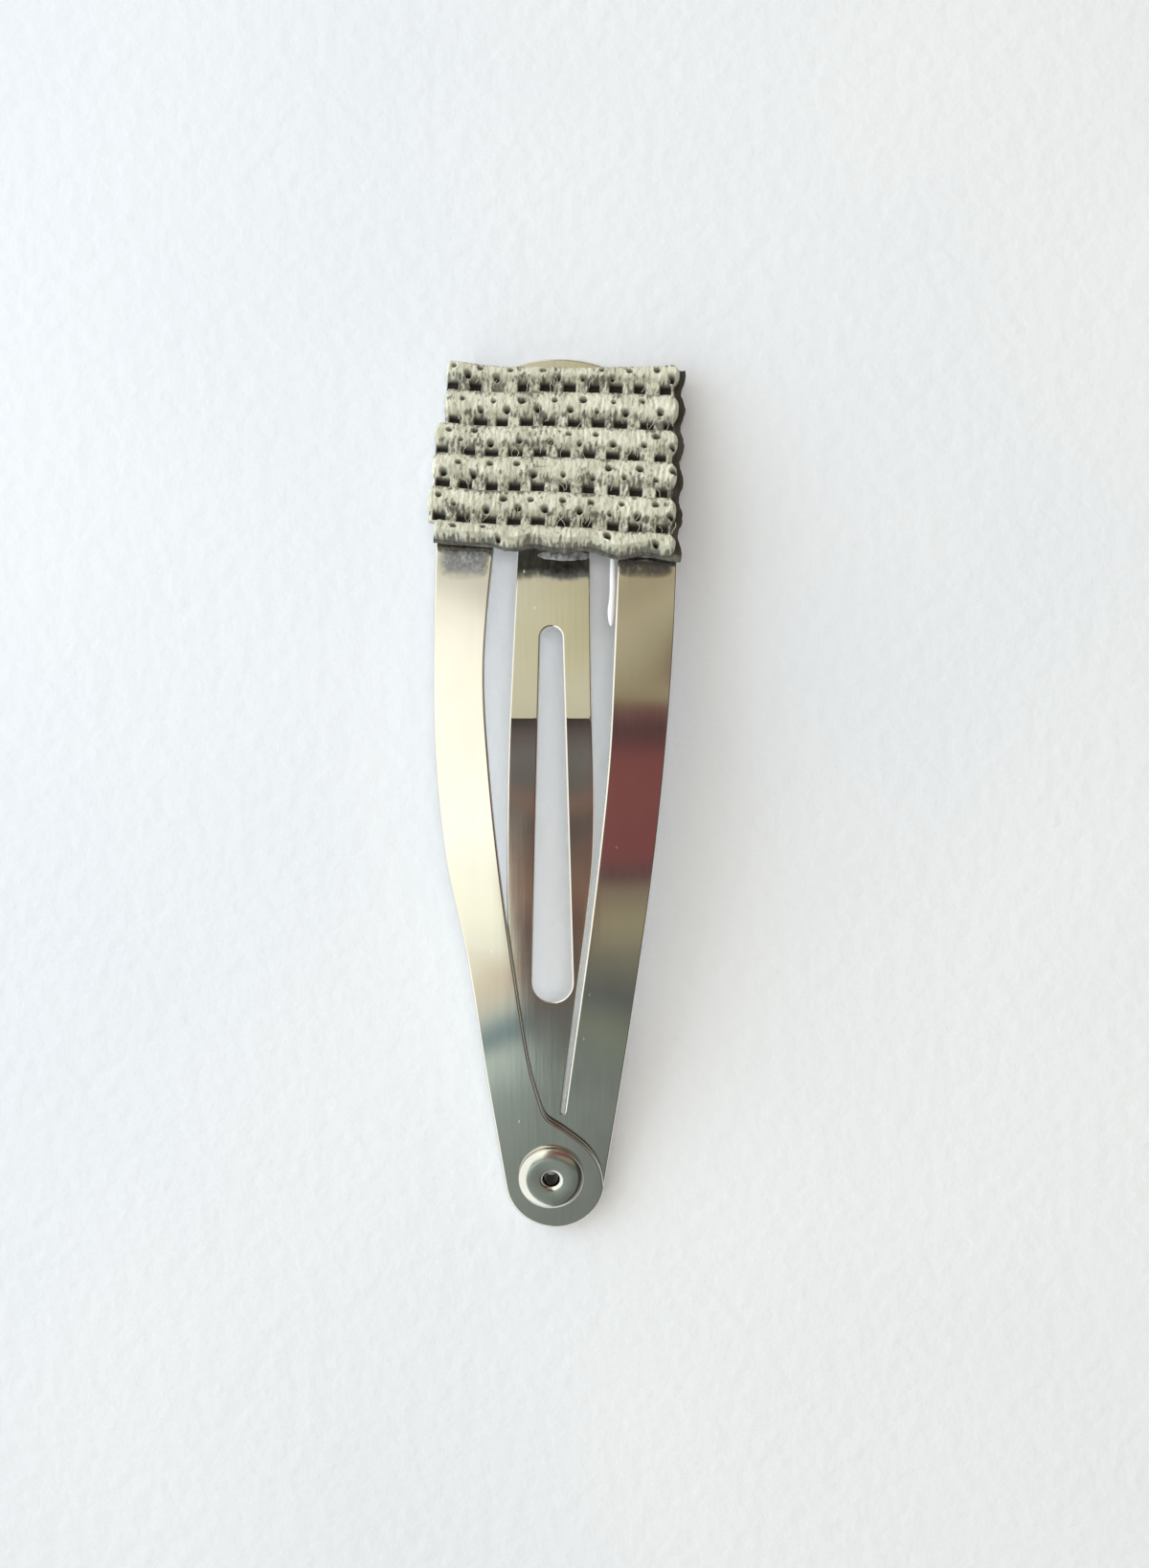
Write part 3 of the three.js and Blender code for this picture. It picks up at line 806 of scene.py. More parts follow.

# %% [markdown]
# ## The rivet
# A short tube was pushed through both layers and rolled over. A turned profile says all of that: a flat head
# with a sloping rim, a bore with a soft lip, and a smaller rolled tail underneath. The bore is painted dark
# as the shade inside the hole, so each point also keeps how much painted shade it has, for the finish to
# read.

# %% Rivet
SEAT = 0.02
BORE_RADIUS = 0.42
SHANK_RADIUS = 1.08
HEAD_RADIUS = 1.85
HEAD_HEIGHT = 0.5
RIM_WIDTH = 0.6
RIM_SLOPE = 30
LIP_ROUND = 0.3
FOOT_ROUND = 0.15
FOOT_DEPTH = 0.07
TAIL_REACH = 1.38
TAIL_DEPTH = 0.12
TAIL_ROUND = (0.12, 0.1)
RIVET_SIDES = 72
# The painted shade in the bore: where it starts round the hole and how it deepens further down.
BORE_SHADE_EDGE = (BORE_RADIUS + 0.08, BORE_RADIUS + 0.26)
BORE_SHADE_RISE = 0.4


def turned(bm, profile, steps, place):
    rings = []
    for step in range(steps):
        turn = 2 * math.pi * step / steps
        rings.append([
            bm.verts.new(place @ Vector((r * math.cos(turn), r * math.sin(turn), z))) for r, z in profile])
    for first, second in ring_steps(rings):
        for i in range(len(profile)):
            j = (i + 1) % len(profile)
            bm.faces.new((first[i], second[i], second[j], first[j]))


def rivet_profile():
    """Half of the rivet's section, from the foot of the bore round the outside to the lip of the bore."""
    stack = (SHEET + LAYER) * math.cos(TIP_SLOPE)
    dome = RIM_WIDTH / math.sin(math.radians(RIM_SLOPE))
    foot = arc((BORE_RADIUS + FOOT_ROUND, -stack - FOOT_DEPTH), (FOOT_ROUND, FOOT_ROUND), 180, 270, 5)
    tail = arc((TAIL_REACH, -stack - TAIL_DEPTH), TAIL_ROUND, -90, 90, 8)
    rim = arc((HEAD_RADIUS - RIM_WIDTH, HEAD_HEIGHT - dome), (dome, dome), 90 - RIM_SLOPE, 90, 14)
    lip = arc((BORE_RADIUS + LIP_ROUND, HEAD_HEIGHT - LIP_ROUND), (LIP_ROUND, LIP_ROUND), 90, 180, 10)
    shank = [(SHANK_RADIUS, -stack - SEAT), (SHANK_RADIUS, SEAT), (HEAD_RADIUS, SEAT)]
    return [*foot, *tail, *shank, *rim, *lip]


def rivet():
    top = upper_sheet(0, RIVET_Y) + SHEET / 2
    place = Matrix.Translation((RIVET_X, RIVET_Y, top)) @ Matrix.Rotation(TIP_SLOPE, 4, "X")
    bm = bmesh.new()
    turned(bm, rivet_profile(), RIVET_SIDES, place)
    # Painted shade: points deep in the bore are dark, and the lip fades to the plate's own colour.
    painted_shade = bm.verts.layers.float.new("painted_shade")
    to_rivet = place.inverted()
    for vert in bm.verts:
        x, y, z = to_rivet @ vert.co
        vert[painted_shade] = 1 - smoothstep(math.hypot(x, y) + BORE_SHADE_RISE * z, *BORE_SHADE_EDGE)
    return finish_piece("rolled_rivet", bm, "frame", ["tip_rivet"])


rivet_piece = rivet()
print("rivet faces:", len(rivet_piece.data.polygons))

# %% [markdown]
# ## The pad's own coordinates
# The tape was cut by hand, so the pad is a crooked four-sided patch. One function takes a place on the tape,
# along it, across it and above the sheet, to a place in the model. Everything on the pad is written in tape
# coordinates and follows the crooked cut by itself.

# %% Pad coordinates
PAD_WIDTH = 13.2
PAD_LENGTH = 10.4
BOTTOM_LEFT = Vector((-6.75, 13.88))
BOTTOM_RIGHT = Vector((6.55, 12.95))
TOP_LEFT = Vector((-5.85, 24.17))
TOP_RIGHT = Vector((6.95, 23.97))
GLUE_FILM = 0.15
BACKING_THICKNESS = 0.5
BACKING_BASE = GLUE_FILM + 2 * SEAT
BACKING_TOP = BACKING_BASE + BACKING_THICKNESS
RIB_BASE = BACKING_TOP + SEAT


def pad_point(along, across, above):
    """The place in the model, in millimetres, of a place on the tape."""
    bottom = BOTTOM_LEFT.lerp(BOTTOM_RIGHT, along / PAD_WIDTH)
    top = TOP_LEFT.lerp(TOP_RIGHT, along / PAD_WIDTH)
    plan = bottom.lerp(top, across / PAD_LENGTH)
    sheet_top = upper_sheet(0, plan.y) + SHEET / (2 * math.cos(BOW_SLOPE))
    return (plan.x, plan.y + above * math.sin(BOW_SLOPE), sheet_top + above * math.cos(BOW_SLOPE))


def close_block(bm, dark, grid, base):
    """Adds straight sides below the rim of a grid, and a flat base."""
    right = [line[-1] for line in grid[1:]]
    left = [line[0] for line in grid[-2:0:-1]]
    rim = [*grid[0], *right, *grid[-1][-2::-1], *left]
    feet = []
    for _, along, across, darkness in rim:
        foot = bm.verts.new(pad_point(along, across, base))
        foot[dark] = darkness
        feet.append(foot)
    for i, (vert, *_) in enumerate(rim):
        j = (i + 1) % len(rim)
        bm.faces.new((vert, feet[i], feet[j], rim[j][0]))
    bm.faces.new(feet)


def tape_grid(columns, rows, surface, base):
    """A closed block of tape with a fine top surface.

    surface gives along, across, above and a darkness from 0 to 1 for shares of the width and depth."""
    bm = bmesh.new()
    dark = bm.verts.layers.float.new("darkness")
    grid = []
    for row in range(rows + 1):
        line = []
        for column in range(columns + 1):
            along, across, above, darkness = surface(column / columns, row / rows)
            vert = bm.verts.new(pad_point(along, across, above))
            vert[dark] = darkness
            line.append((vert, along, across, darkness))
        grid.append(line)
    for low, high in zip(grid, grid[1:]):
        for (a, *_), (b, *_), (c, *_), (d, *_) in zip(low, low[1:], high[1:], high):
            bm.faces.new((a, b, c, d))
    close_block(bm, dark, grid, base)
    return bm


print("pad is", PAD_WIDTH, "by", PAD_LENGTH, "mm, its ribs stand", round(RIB_BASE, 2), "mm above the sheet")

# %% [markdown]
# ## The woven backing
# Under the ribs lies a dark plain weave. It shows only in the openings and along the cut edges, where a few
# tenths of a millimetre of wavy, frayed edge are enough. Along the right edge it reaches past the ribs in
# scallops that are painted near black, as shadow, and the low places of the weave are painted darker, as
# shade.

# %% Backing
RIB_PITCH = 1.98
BACKING_OVERHANG = 0.3
LEFT_MARGIN = 0.2
TOP_SAG = 0.26
TOP_REACH = (0.3, 1)
BOTTOM_WAVE = 0.3
BOTTOM_REACH = 1.2
# The scallops along the right edge carry the painted shadow there.
SCALLOP = 0.13
SCALLOP_SHIFT = 0.02
FIRST_SCALLOP = 0.26
RIGHT_EDGE = (0.94, 1)
FRAY = 0.07
FRAYED_SHARE = 0.98
BOTTOM_SHARE = 0.02
BOTTOM_CONTRAST = 0.5
# Painted shade: the right edge is near black, and the contrast darkens the low places of the weave.
RIGHT_SHARE = 0.97
RIGHT_SHADE = 0.8
WEAVE_SHADE = 0.45
WEAVE_CONTRAST = 0.35
THREAD = 0.34
THREAD_RISE = 0.03
BACKING_COLUMNS = 150
BACKING_ROWS = 126


def top_sag(u, v):
    """How far the cut at the top edge sags between its two ends."""
    return TOP_SAG * math.sin(math.pi * u) * smoothstep(v, *TOP_REACH)


def bottom_wave(along, across):
    """How far the cut at the bottom edge strays from a straight line."""
    stray = noise.noise(Vector((along * 0.55, 0, 4.5)))
    return BOTTOM_WAVE * stray * (1 - smoothstep(across, 0, BOTTOM_REACH))


def backing_shade(u, v, along, weave):
    """How dark the weave is: painted near black along the right edge as shadow, painted darker in its low
    places as shade, and uneven along the bottom one.
    """
    if v < BOTTOM_SHARE:
        return WEAVE_SHADE + BOTTOM_CONTRAST * noise.noise(Vector((along * 2.2, 0, 12)))
    return RIGHT_SHADE if u > RIGHT_SHARE else WEAVE_SHADE - WEAVE_CONTRAST * weave


def backing_surface(u, v):
    across = v * (PAD_LENGTH - top_sag(u, v))
    scallop = SCALLOP * math.cos(2 * math.pi * (across - FIRST_SCALLOP) / RIB_PITCH) - SCALLOP_SHIFT
    fray = FRAY * noise.noise(Vector((u * 40, v * 40, 3)))
    along = u * (PAD_WIDTH + BACKING_OVERHANG) - (1 - u) * LEFT_MARGIN
    along += smoothstep(u, *RIGHT_EDGE) * (scallop + fray)
    across += fray * (abs(2 * v - 1) > FRAYED_SHARE) + bottom_wave(along, across)
    weave = math.sin(along * math.pi / THREAD) * math.sin(across * math.pi / THREAD)
    return along, across, BACKING_TOP + THREAD_RISE * (weave - 1), backing_shade(u, v, along, weave)


def woven_backing():
    bm = tape_grid(BACKING_COLUMNS, BACKING_ROWS, backing_surface, BACKING_BASE)
    return finish_piece("woven_backing", bm, "frame", ["pad_backing"])


backing_piece = woven_backing()
print("backing faces:", len(backing_piece.data.polygons))

# %% [markdown]
# ## Uneven yarn
# Woven tape repeats, but never exactly: the rows wander, tufts stand up and the wraps lie a little askew.
# Noise that is read at a place on the tape gives all of it, and gives the same answer on every run. It is
# drawn out along the yarn, because that is the way that fibres lie.

# %% Yarn noise
ROW_STRAY = 0.16
ROW_DROOP = 0.24
DROOP_START = 5
WRAP_PITCH = 0.36
WRAP_DEPTH = 0.03
TUFT_HEIGHT = 0.04
FUZZ_HEIGHT = 0.03


def wander(along, across):
    """How far the weave strays from straight rows: a little everywhere, and downwards below the top rib."""
    share = min(max((across - DROOP_START) / (PAD_LENGTH - DROOP_START), 0), 1)
    stray = noise.noise(Vector((along * 0.25, across * 0.1, 8.5)))
    return ROW_STRAY * stray - ROW_DROOP * math.sin(math.pi * share)


def streaks(along, across, seed):
    """Uneven noise, drawn out along the yarn, between about -1 and 1."""
    return noise.fractal(Vector((along * 4, across * 2.7, seed)), 0.7, 2.1, 4)


def yarn_relief(along, across, index):
    """The height of the wraps, tufts and fuzz of one rib."""
    wrap = along / WRAP_PITCH + 0.8 * noise.noise(Vector((along * 1.3, across * 0.9, 5)))
    groove = WRAP_DEPTH * (1 - abs(math.sin(math.pi * wrap)))
    fuzz = FUZZ_HEIGHT * noise.noise(Vector((along * 11, across * 5, index + 4)))
    return TUFT_HEIGHT * streaks(along, across, index + 20) + fuzz - groove


print("wraps across the tape:", round(PAD_WIDTH / WRAP_PITCH))

# %% [markdown]
# ## Streaks and painted shade
# Used tape gathers dark fluff, in streaks and patches. The yarn is also painted darker as shade along the
# rows of openings, at the cut edge and near the top of each crest. A painted picture could show it, but would
# have to be fitted to every opening. Here each place works out its own darkness, from noise and from how near
# the openings are.

# %% Streaks and painted shade
STREAK_SOIL = 0.75
PATCH_SOIL = 0.55
SOIL_EDGE = (0.28, 0.72)
# Painted shade beside the openings, at the cut edge and near the top of each crest:
CUT_SHADE = 0.7
CUT_REACH = (0, 0.2)
ROW_SHADE = 0.42
ROW_REACH = (0.02, 0.34)
CREST_SHADE = 0.5
CREST_REACH = (0.62, 0.9)


def soil_and_shade(along, across, row_shade, seed):
    """Darkness from 0 to 1: random streaks that gather in patches, and the painted shade along the rows of
    openings that comes in as an argument.
    """
    patch = noise.noise(Vector((along * 0.9, across * 0.9, seed + 60)))
    fluff = STREAK_SOIL * streaks(along * 1.5, across * 1.2, seed) + PATCH_SOIL * patch + row_shade
    return smoothstep(fluff, *SOIL_EDGE)


def shade_nearness(share, is_last, is_crest):
    """How much painted shade a place gets from being near a row of openings, the cut edge or the top of a
    crest.
    """
    if is_last:
        near = CUT_SHADE * (1 - smoothstep(share, *CUT_REACH))
    else:
        near = ROW_SHADE * (1 - smoothstep(share, *ROW_REACH))
    return max(near, CREST_SHADE * smoothstep(share, *CREST_REACH)) if is_crest else near


print("soil beside an opening:", shade_nearness(0, False, False), "and at the cut:", shade_nearness(0, True, False))

# %% [markdown]
# ## Openings and pin-holes
# Short bridges of yarn cross from rib to rib, and between the bridges the tape is open down to the dark
# backing. Smaller pin-holes sit in two staggered rows on each crest, where the wraps part. Both are kept as a
# place and a size. Cutting them with a boolean would leave sharp rims, and yarn has none, so they only press
# the surface down later.

# %% Openings
CRESTS = (0.95, 1.42, 1.42, 1.42, 1.42, 0.97)
RIB_GAP = 0.01
SHELF = RIB_PITCH - CRESTS[1] - RIB_GAP
TOP_SHELF = PAD_LENGTH - CRESTS[0] - SHELF
LAST = len(CRESTS) - 1
POCKETS = 10
POCKET_PITCH = 1.37
FIRST_POCKETS = (0.04, 0.4, -0.14, 0, 0.1, 0)
POCKET_STRAY = 0.1
POCKET_HALF_WIDTH = (0.31, 0.39)
POCKET_SIDE = (-0.04, 0.05)
POCKET_FOOT = (0.03, 0.08)
POCKET_HEAD = (-0.09, 0.03)
SHALLOW_CHANCE = 0.07
SHALLOW_DEPTH = 0.5
PINHOLES = 9
PINHOLE_PITCH = 1.72
PINHOLE_ROWS = (0.56, 0.2)
PINHOLE_STRAY = (0.15, 0.05)
PINHOLE_RADIUS = (0.11, 0.19)
PINHOLE_SQUEEZE = 0.8
PINHOLE_EDGE = (0.4, 1.2)
PINHOLE_DEPTH = 0.8
PINHOLE_CHANCE = 0.85
LAST_RIB_CHANCE = 0.3


def rib_features(index, rng):
    """The openings and pin-holes of one rib, a little uneven as weaving is."""
    pockets = []
    for i in range(POCKETS):
        middle = FIRST_POCKETS[index] + i * POCKET_PITCH + rng.uniform(-POCKET_STRAY, POCKET_STRAY)
        half = rng.uniform(*POCKET_HALF_WIDTH)
        pockets.append((middle, half, SHALLOW_DEPTH if rng.random() < SHALLOW_CHANCE else 1))
    pinholes = []
    stray_along, stray_across = PINHOLE_STRAY
    chance = LAST_RIB_CHANCE if index == LAST else PINHOLE_CHANCE
    for row, share in enumerate(PINHOLE_ROWS):
        shift = (row + index) % 2 * PINHOLE_PITCH / 2
        for i in range(PINHOLES):
            place = shift + i * PINHOLE_PITCH + rng.uniform(-stray_along, stray_along)
            if rng.random() < chance:
                row_share = share + rng.uniform(-stray_across, stray_across)
                pinholes.append((place, row_share, rng.uniform(*PINHOLE_RADIUS)))
    return pockets, pinholes


def pocket_depth(along, local, pockets):
    deepest = 0
    for middle, half, depth in pockets:
        side = 1 - smoothstep(abs(along - middle) - half, *POCKET_SIDE)
        tall = smoothstep(local, *POCKET_FOOT) * (1 - smoothstep(local - SHELF, *POCKET_HEAD))
        deepest = max(deepest, side * tall * depth)
    return deepest


def pinhole_depth(along, above_shelf, crest, pinholes):
    deepest = 0
    for middle, row_share, radius in pinholes:
        far = math.hypot((along - middle) * PINHOLE_SQUEEZE, above_shelf - row_share * crest)
        deepest = max(deepest, PINHOLE_DEPTH * (1 - smoothstep(far / radius, *PINHOLE_EDGE)))
    return deepest


print("openings in the tape:", POCKETS * LAST)

# %% [markdown]
# ## The form of a rib
# Each rib is a thick cord, round on top, and its ends are rounded too. The left ends hang over the backing,
# each by its own amount, because the tape was cut by hand. The last rib was cut through along its length, so
# its lower side is steep. A few formulas say this with fewer numbers than a drawn section would need.

# %% Rib form
RIB_HEIGHT = 1.2
RIB_FOOT = 0.42
CROWN_POWER = 2.6
CUT_RISE = (-0.03, 0.24)
OVERHANG = (0.45, 0.34, 0.7, 0.65, 0.68, 0.2)
RIGHT_BULGE = 0.02
LEFT_ROUND = 0.12
RIGHT_ROUND = 0.3


def rib_crown(share, is_cut):
    """The rounded section of a rib from its lower edge to its upper one, or a steep cut at the lower edge."""
    if is_cut and share < 0.5:
        rise = smoothstep(share, *CUT_RISE)
    else:
        rise = math.sqrt(max(0, 1 - abs(2 * share - 1) ** CROWN_POWER))
    return RIB_FOOT + (RIB_HEIGHT - RIB_FOOT) * rise


def rib_ends(index, share):
    """Where a rib starts and stops along the tape. Both ends are rounded, and the left ones hang over."""
    off_middle = abs(2 * share - 1)
    left = LEFT_ROUND * off_middle ** 3 - OVERHANG[index]
    right = PAD_WIDTH + RIGHT_BULGE - RIGHT_ROUND * off_middle ** 2
    return left, right


print("crown of a rib:", rib_crown(0.5, False), "mm")

# %% [markdown]
# ## The ribs
# Yarn wraps run over each rib from front to back, and the shelf of bridges lies on its lower side. Modelling
# every thread would take millions of faces. Everything here is instead one height for each place on the rib,
# so a fine grid carries it, and the holes show from every side. Each point also keeps a darkness for the
# yarn's colour: painted shade in the deep places and round the openings, and random dark streaks.

# %% Ribs
BRIDGE_HEIGHT = 0.52
BRIDGE_RISE = 0.16
BRIDGE_STEP = (-0.05, 0.14)
HOLLOW_FLOOR = 0.05
LOWEST = 0.03
END_DROP = 0.45
END_REACH = (0.97, 1)
# How dark the streaks and painted shade make the yarn, and how fast the painted shade deepens in the openings
# and pin-holes:
SOIL_AND_SHADE_DARKNESS = 0.75
HOLLOW_SHADE = 1.4
RIB_COLUMNS = 320
RIB_ROWS = 46


def rib_surface(index, rng):
    is_last = index == LAST
    shelf = 0 if is_last else SHELF
    crest = CRESTS[index]
    bottom = 0 if is_last else TOP_SHELF - index * RIB_PITCH
    pockets, pinholes = rib_features(index, rng)

    def surface(u, v):
        local = v * (shelf + crest)
        is_crest = local > shelf
        share = min(max((local - shelf) / crest, 0), 1)
        left, right = rib_ends(index, share)
        along = left + u * (right - left)
        across = bottom + local
        height = rib_crown(share, is_last)
        hollow = 0
        if not is_last:
            bridge = BRIDGE_HEIGHT + BRIDGE_RISE * smoothstep(local, 0, SHELF)
            height = bridge + (height - bridge) * smoothstep(local - shelf, *BRIDGE_STEP)
            hollow = pocket_depth(along, local, pockets)
        if is_crest:
            hollow = max(hollow, pinhole_depth(along, local - shelf, crest, pinholes))
        height += yarn_relief(along, across, index)
        height *= 1 - END_DROP * smoothstep(abs(2 * u - 1), *END_REACH)
        height += (HOLLOW_FLOOR - height) * hollow
        # Painted shade near the openings and at the cut edge, mixed with random dark streaks:
        darkened = SOIL_AND_SHADE_DARKNESS * soil_and_shade(along, across, shade_nearness(share, is_last, is_crest), index + 40)
        if index == 0:
            across -= top_sag(u, v)
        place = across + wander(along, across) + bottom_wave(along, across)
        # Painted shade: the openings and pin-holes are darkened by their depth.
        darkness = max(min(HOLLOW_SHADE * hollow, 1), darkened)
        return along, place, RIB_BASE + max(height, LOWEST), darkness

    return surface


def tape_ribs():
    rng = random.Random(7)
    ribs = []
    for index in range(len(CRESTS)):
        bm = tape_grid(RIB_COLUMNS, RIB_ROWS, rib_surface(index, rng), RIB_BASE)
        node = f"pad_rib_{index + 1}"
        ribs.append(finish_piece(f"tape_rib_{index + 1}", bm, "frame", [node]))
    return ribs


rib_pieces = tape_ribs()
print("rib faces:", sum(len(rib.data.polygons) for rib in rib_pieces))

# %% [markdown]
# ## Loose fibres
# Worn tape frays. Short fibres lean over the openings here and there. A curve with a tiny bevel draws each
# of them, and the curves then become one mesh.

# %% Fibres
FIBRES = 190
FIBRE_RADIUS = 0.015
FIBRE_STEPS = 4
FIBRE_LENGTH = (0.2, 0.5)
FIBRE_LEAN = 0.3
FIBRE_LIFT = (0.02, 0.14)
FIBRE_FOOT = 0.62
FIBRE_CLIMB = 0.4
FIBRE_CURL = 0.06
FIBRE_MARGIN = 0.1
FIBRE_REACH = 0.4


def fibre_points(rng):
    """A few places along one fibre that leans over an opening."""
    row = rng.randrange(LAST)
    along = rng.uniform(FIBRE_MARGIN, PAD_WIDTH - FIBRE_MARGIN)
    across = TOP_SHELF - row * RIB_PITCH + rng.uniform(FIBRE_MARGIN, SHELF + FIBRE_REACH)
    length = rng.uniform(*FIBRE_LENGTH)
    lean = rng.uniform(-FIBRE_LEAN, FIBRE_LEAN)
    lift = rng.uniform(*FIBRE_LIFT)
    points = []
    for i in range(FIBRE_STEPS + 1):
        share = i / FIBRE_STEPS
        here = along + lean * share + FIBRE_CURL * math.sin(share * 5 + along * 9)
        there = across + (share - 0.5) * length
        above = RIB_BASE + FIBRE_FOOT + lift * math.sin(share * math.pi) + FIBRE_CLIMB * share
        points.append(pad_point(here, there + wander(here, there), above))
    return points


def loose_fibres():
    rng = random.Random(11)
    curve = bpy.data.curves.new("loose_fibres", "CURVE")
    curve.dimensions = "3D"
    curve.bevel_depth = FIBRE_RADIUS * MM
    curve.bevel_resolution = 1
    curve.use_fill_caps = True
    for _ in range(FIBRES):
        fibre = curve.splines.new("POLY")
        fibre.points.add(FIBRE_STEPS)
        for point, place in zip(fibre.points, fibre_points(rng)):
            point.co = (*(Vector(place) * MM), 1)
    draft = bpy.data.objects.new("fibre_curves", curve)
    mesh = bpy.data.meshes.new_from_object(draft)
    mesh.shade_smooth()
    piece = bpy.data.objects.new("loose_fibres", mesh)
    scene.collection.objects.link(piece)
    bpy.data.objects.remove(draft)
    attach(piece, "frame")
    return piece


fibre_piece = loose_fibres()
print("fibre faces:", len(fibre_piece.data.polygons))

# %% [markdown]
# ## The glue bead
# Glue came out from under the pad when it was pressed on. A pale bead of it hangs on the inner edge of the
# right arm, thin at the top and round at its lower end, like a drop that ran and set. It could be sculpted,
# but a ball that a formula draws out along the arm follows the sheet's curve by itself.

# %% Bead
BEAD_START = 9.3
BEAD_LENGTH = 4.5
BEAD_RADIUS = 0.17
BEAD_SWELL = 0.11
BEAD_SWELL_FADE = (0.08, 0.4)
BEAD_X = 3.11
BEAD_LEAN = 0.1
BEAD_LEAN_FADE = (0.1, 0.5)
ARM_EDGE = 3.1


def glue_bead():
    bm = bmesh.new()
    bmesh.ops.create_uvsphere(bm, u_segments=24, v_segments=32, radius=1)
    for vert in bm.verts:
        share = (vert.co.z + 1) / 2
        radius = BEAD_RADIUS + BEAD_SWELL * (1 - smoothstep(share, *BEAD_SWELL_FADE))
        x = BEAD_X - BEAD_LEAN * (1 - smoothstep(share, *BEAD_LEAN_FADE))
        y = BEAD_START + BEAD_LENGTH * share
        vert.co = (x + radius * vert.co.x, y, upper_sheet(ARM_EDGE, y) + radius * vert.co.y)
    return finish_piece("glue_drop", bm, "frame", ["glue_bead"])


bead_piece = glue_bead()
print("bead faces:", len(bead_piece.data.polygons))

# %% [markdown]
# ## The glue smear
# Below the pad the glue dried to a thin smear: pale on the left arm and painted dark on the right one, as the
# shade and reflection of the pad there, with a low lip between them at the pad's edge. It grows clear away
# from the pad. A mesh can't thin out to nothing cleanly, so every point keeps a thickness and a share of
# painted shade instead, and the finish reads them.

# %% Smear
SMEAR_THICKNESS = 0.05
SMEAR_SPACING = 0.2
LEFT_SMEAR = [
    (-6.7, 13.6), (-6.65, 12.6), (-6.3, 12.05), (-5.6, 11.9), (-4.7, 11.95), (-4, 12.2), (-3.75, 13.5)]
RIGHT_SMEAR = [
    (3.45, 13.1), (3.42, 12.4), (3.8, 12.1), (4.6, 12), (5.5, 12), (6.2, 12.1), (6.5, 12.4), (6.5, 12.85)]
LEFT_FADES = ((12, 12.9), (-6.65, -6), (3.8, 4.1))
RIGHT_FADES = ((12.05, 12.6), (3.42, 3.7), (-6.5, -6.2))
# How much the painted shade and reflection of the pad darken the right smear:
RIGHT_SMEAR_SHADE = 0.9
GLUE_LIP_MIDDLE = (0.4, 13.3)
GLUE_LIP_HALF_SIZE = (1.5, 0.3, 0.1)
GLUE_LIP_LEVEL = 0.35
GLUE_LIP_STRAY = 0.12
GLUE_LIP_FADE = (-0.6, 1.6)


def smear_height(x, y):
    return upper_sheet(x, y) + SHEET / 2 + SEAT + SMEAR_THICKNESS


def smear_amount(x, y):
    """How much glue is left: all of it at the pad, none at the lower edge and ends."""
    below, left, right = LEFT_FADES if x < 0 else RIGHT_FADES
    return smoothstep(y, *below) * smoothstep(x, *left) * smoothstep(-x, *right)


def add_glue_lip(bm, thickness):
    """Adds a flat drop with a wavy edge, thinner towards its right end."""
    half_width, half_length, half_height = GLUE_LIP_HALF_SIZE
    for vert in bmesh.ops.create_uvsphere(bm, u_segments=48, v_segments=16, radius=1)["verts"]:
        x = GLUE_LIP_MIDDLE[0] + half_width * vert.co.x
        stray = GLUE_LIP_STRAY * noise.noise(Vector((x * 1.6, 0, 2)))
        y = GLUE_LIP_MIDDLE[1] + half_length * vert.co.y + stray
        vert[thickness] = 1 - 0.5 * smoothstep(x, *GLUE_LIP_FADE)
        vert.co = (x, y, upper_sheet(0, y) + GLUE_LIP_LEVEL + half_height * vert.co.z)


def glue_smear():
    bm = bmesh.new()
    for edge in (LEFT_SMEAR, RIGHT_SMEAR):
        outline = [*spline(edge, 6), *straight(edge[-1], edge[0], 12)]
        add_plate(bm, [outline], smear_height, SMEAR_SPACING, thickness=SMEAR_THICKNESS, rounding=0)
    thickness = bm.verts.layers.float.new("thickness")
    painted_shade = bm.verts.layers.float.new("painted_shade")
    for vert in bm.verts:
        x, y, _ = vert.co
        vert[thickness] = smear_amount(x, y)
        # Painted shade: the right smear stands for the pad's shade and reflection on that arm.
        vert[painted_shade] = 0 if x < 0 else RIGHT_SMEAR_SHADE
    add_glue_lip(bm, thickness)
    return finish_piece("glue_film_edge", bm, "frame", ["glue_smear"])


smear_piece = glue_smear()
print("smear faces:", len(smear_piece.data.polygons))

# %% [markdown]
# ## Shared effects
# Rubbing and weaving show on more than one finish, so each is a node group that is built once. Rubbing
# gives long fine scratches, cloudy finger marks and a few pale specks. Yarn gives a fibre bump and an uneven
# tone. Only the masks come out of a group, and the colours stay in the finishes.

# %% Groups
SCRATCHES_PER_METRE = 900
MARKS_PER_METRE = 260
SPECKS_PER_METRE = 1100
SPECK_EDGE = (0.065, 0.03)
SPECK_CHANCE = 0.5
FIBRES_PER_METRE = 2600
PATCHES_PER_METRE = 900


def start_group(name, inputs, outputs):
    """A node group with named sockets, which are all plain values."""
    group = bpy.data.node_groups.new(name, "ShaderNodeTree")
    for label, value in inputs.items():
        socket = group.interface.new_socket(name=label, in_out="INPUT", socket_type="NodeSocketFloat")
        socket.default_value = value
    for label in outputs:
        group.interface.new_socket(name=label, in_out="OUTPUT", socket_type="NodeSocketFloat")
    return group, group.nodes.new("NodeGroupInput"), group.nodes.new("NodeGroupOutput")


def stretched(tree, place, stretch):
    return add_node(tree, "ShaderNodeMapping", {"Vector": place, "Scale": stretch}).outputs["Vector"]


def stretched_noise(tree, place, scale, stretch, detail):
    return add_node(tree, "ShaderNodeTexNoise", {
        "Vector": stretched(tree, place, stretch), "Scale": scale, "Detail": detail}).outputs["Fac"]


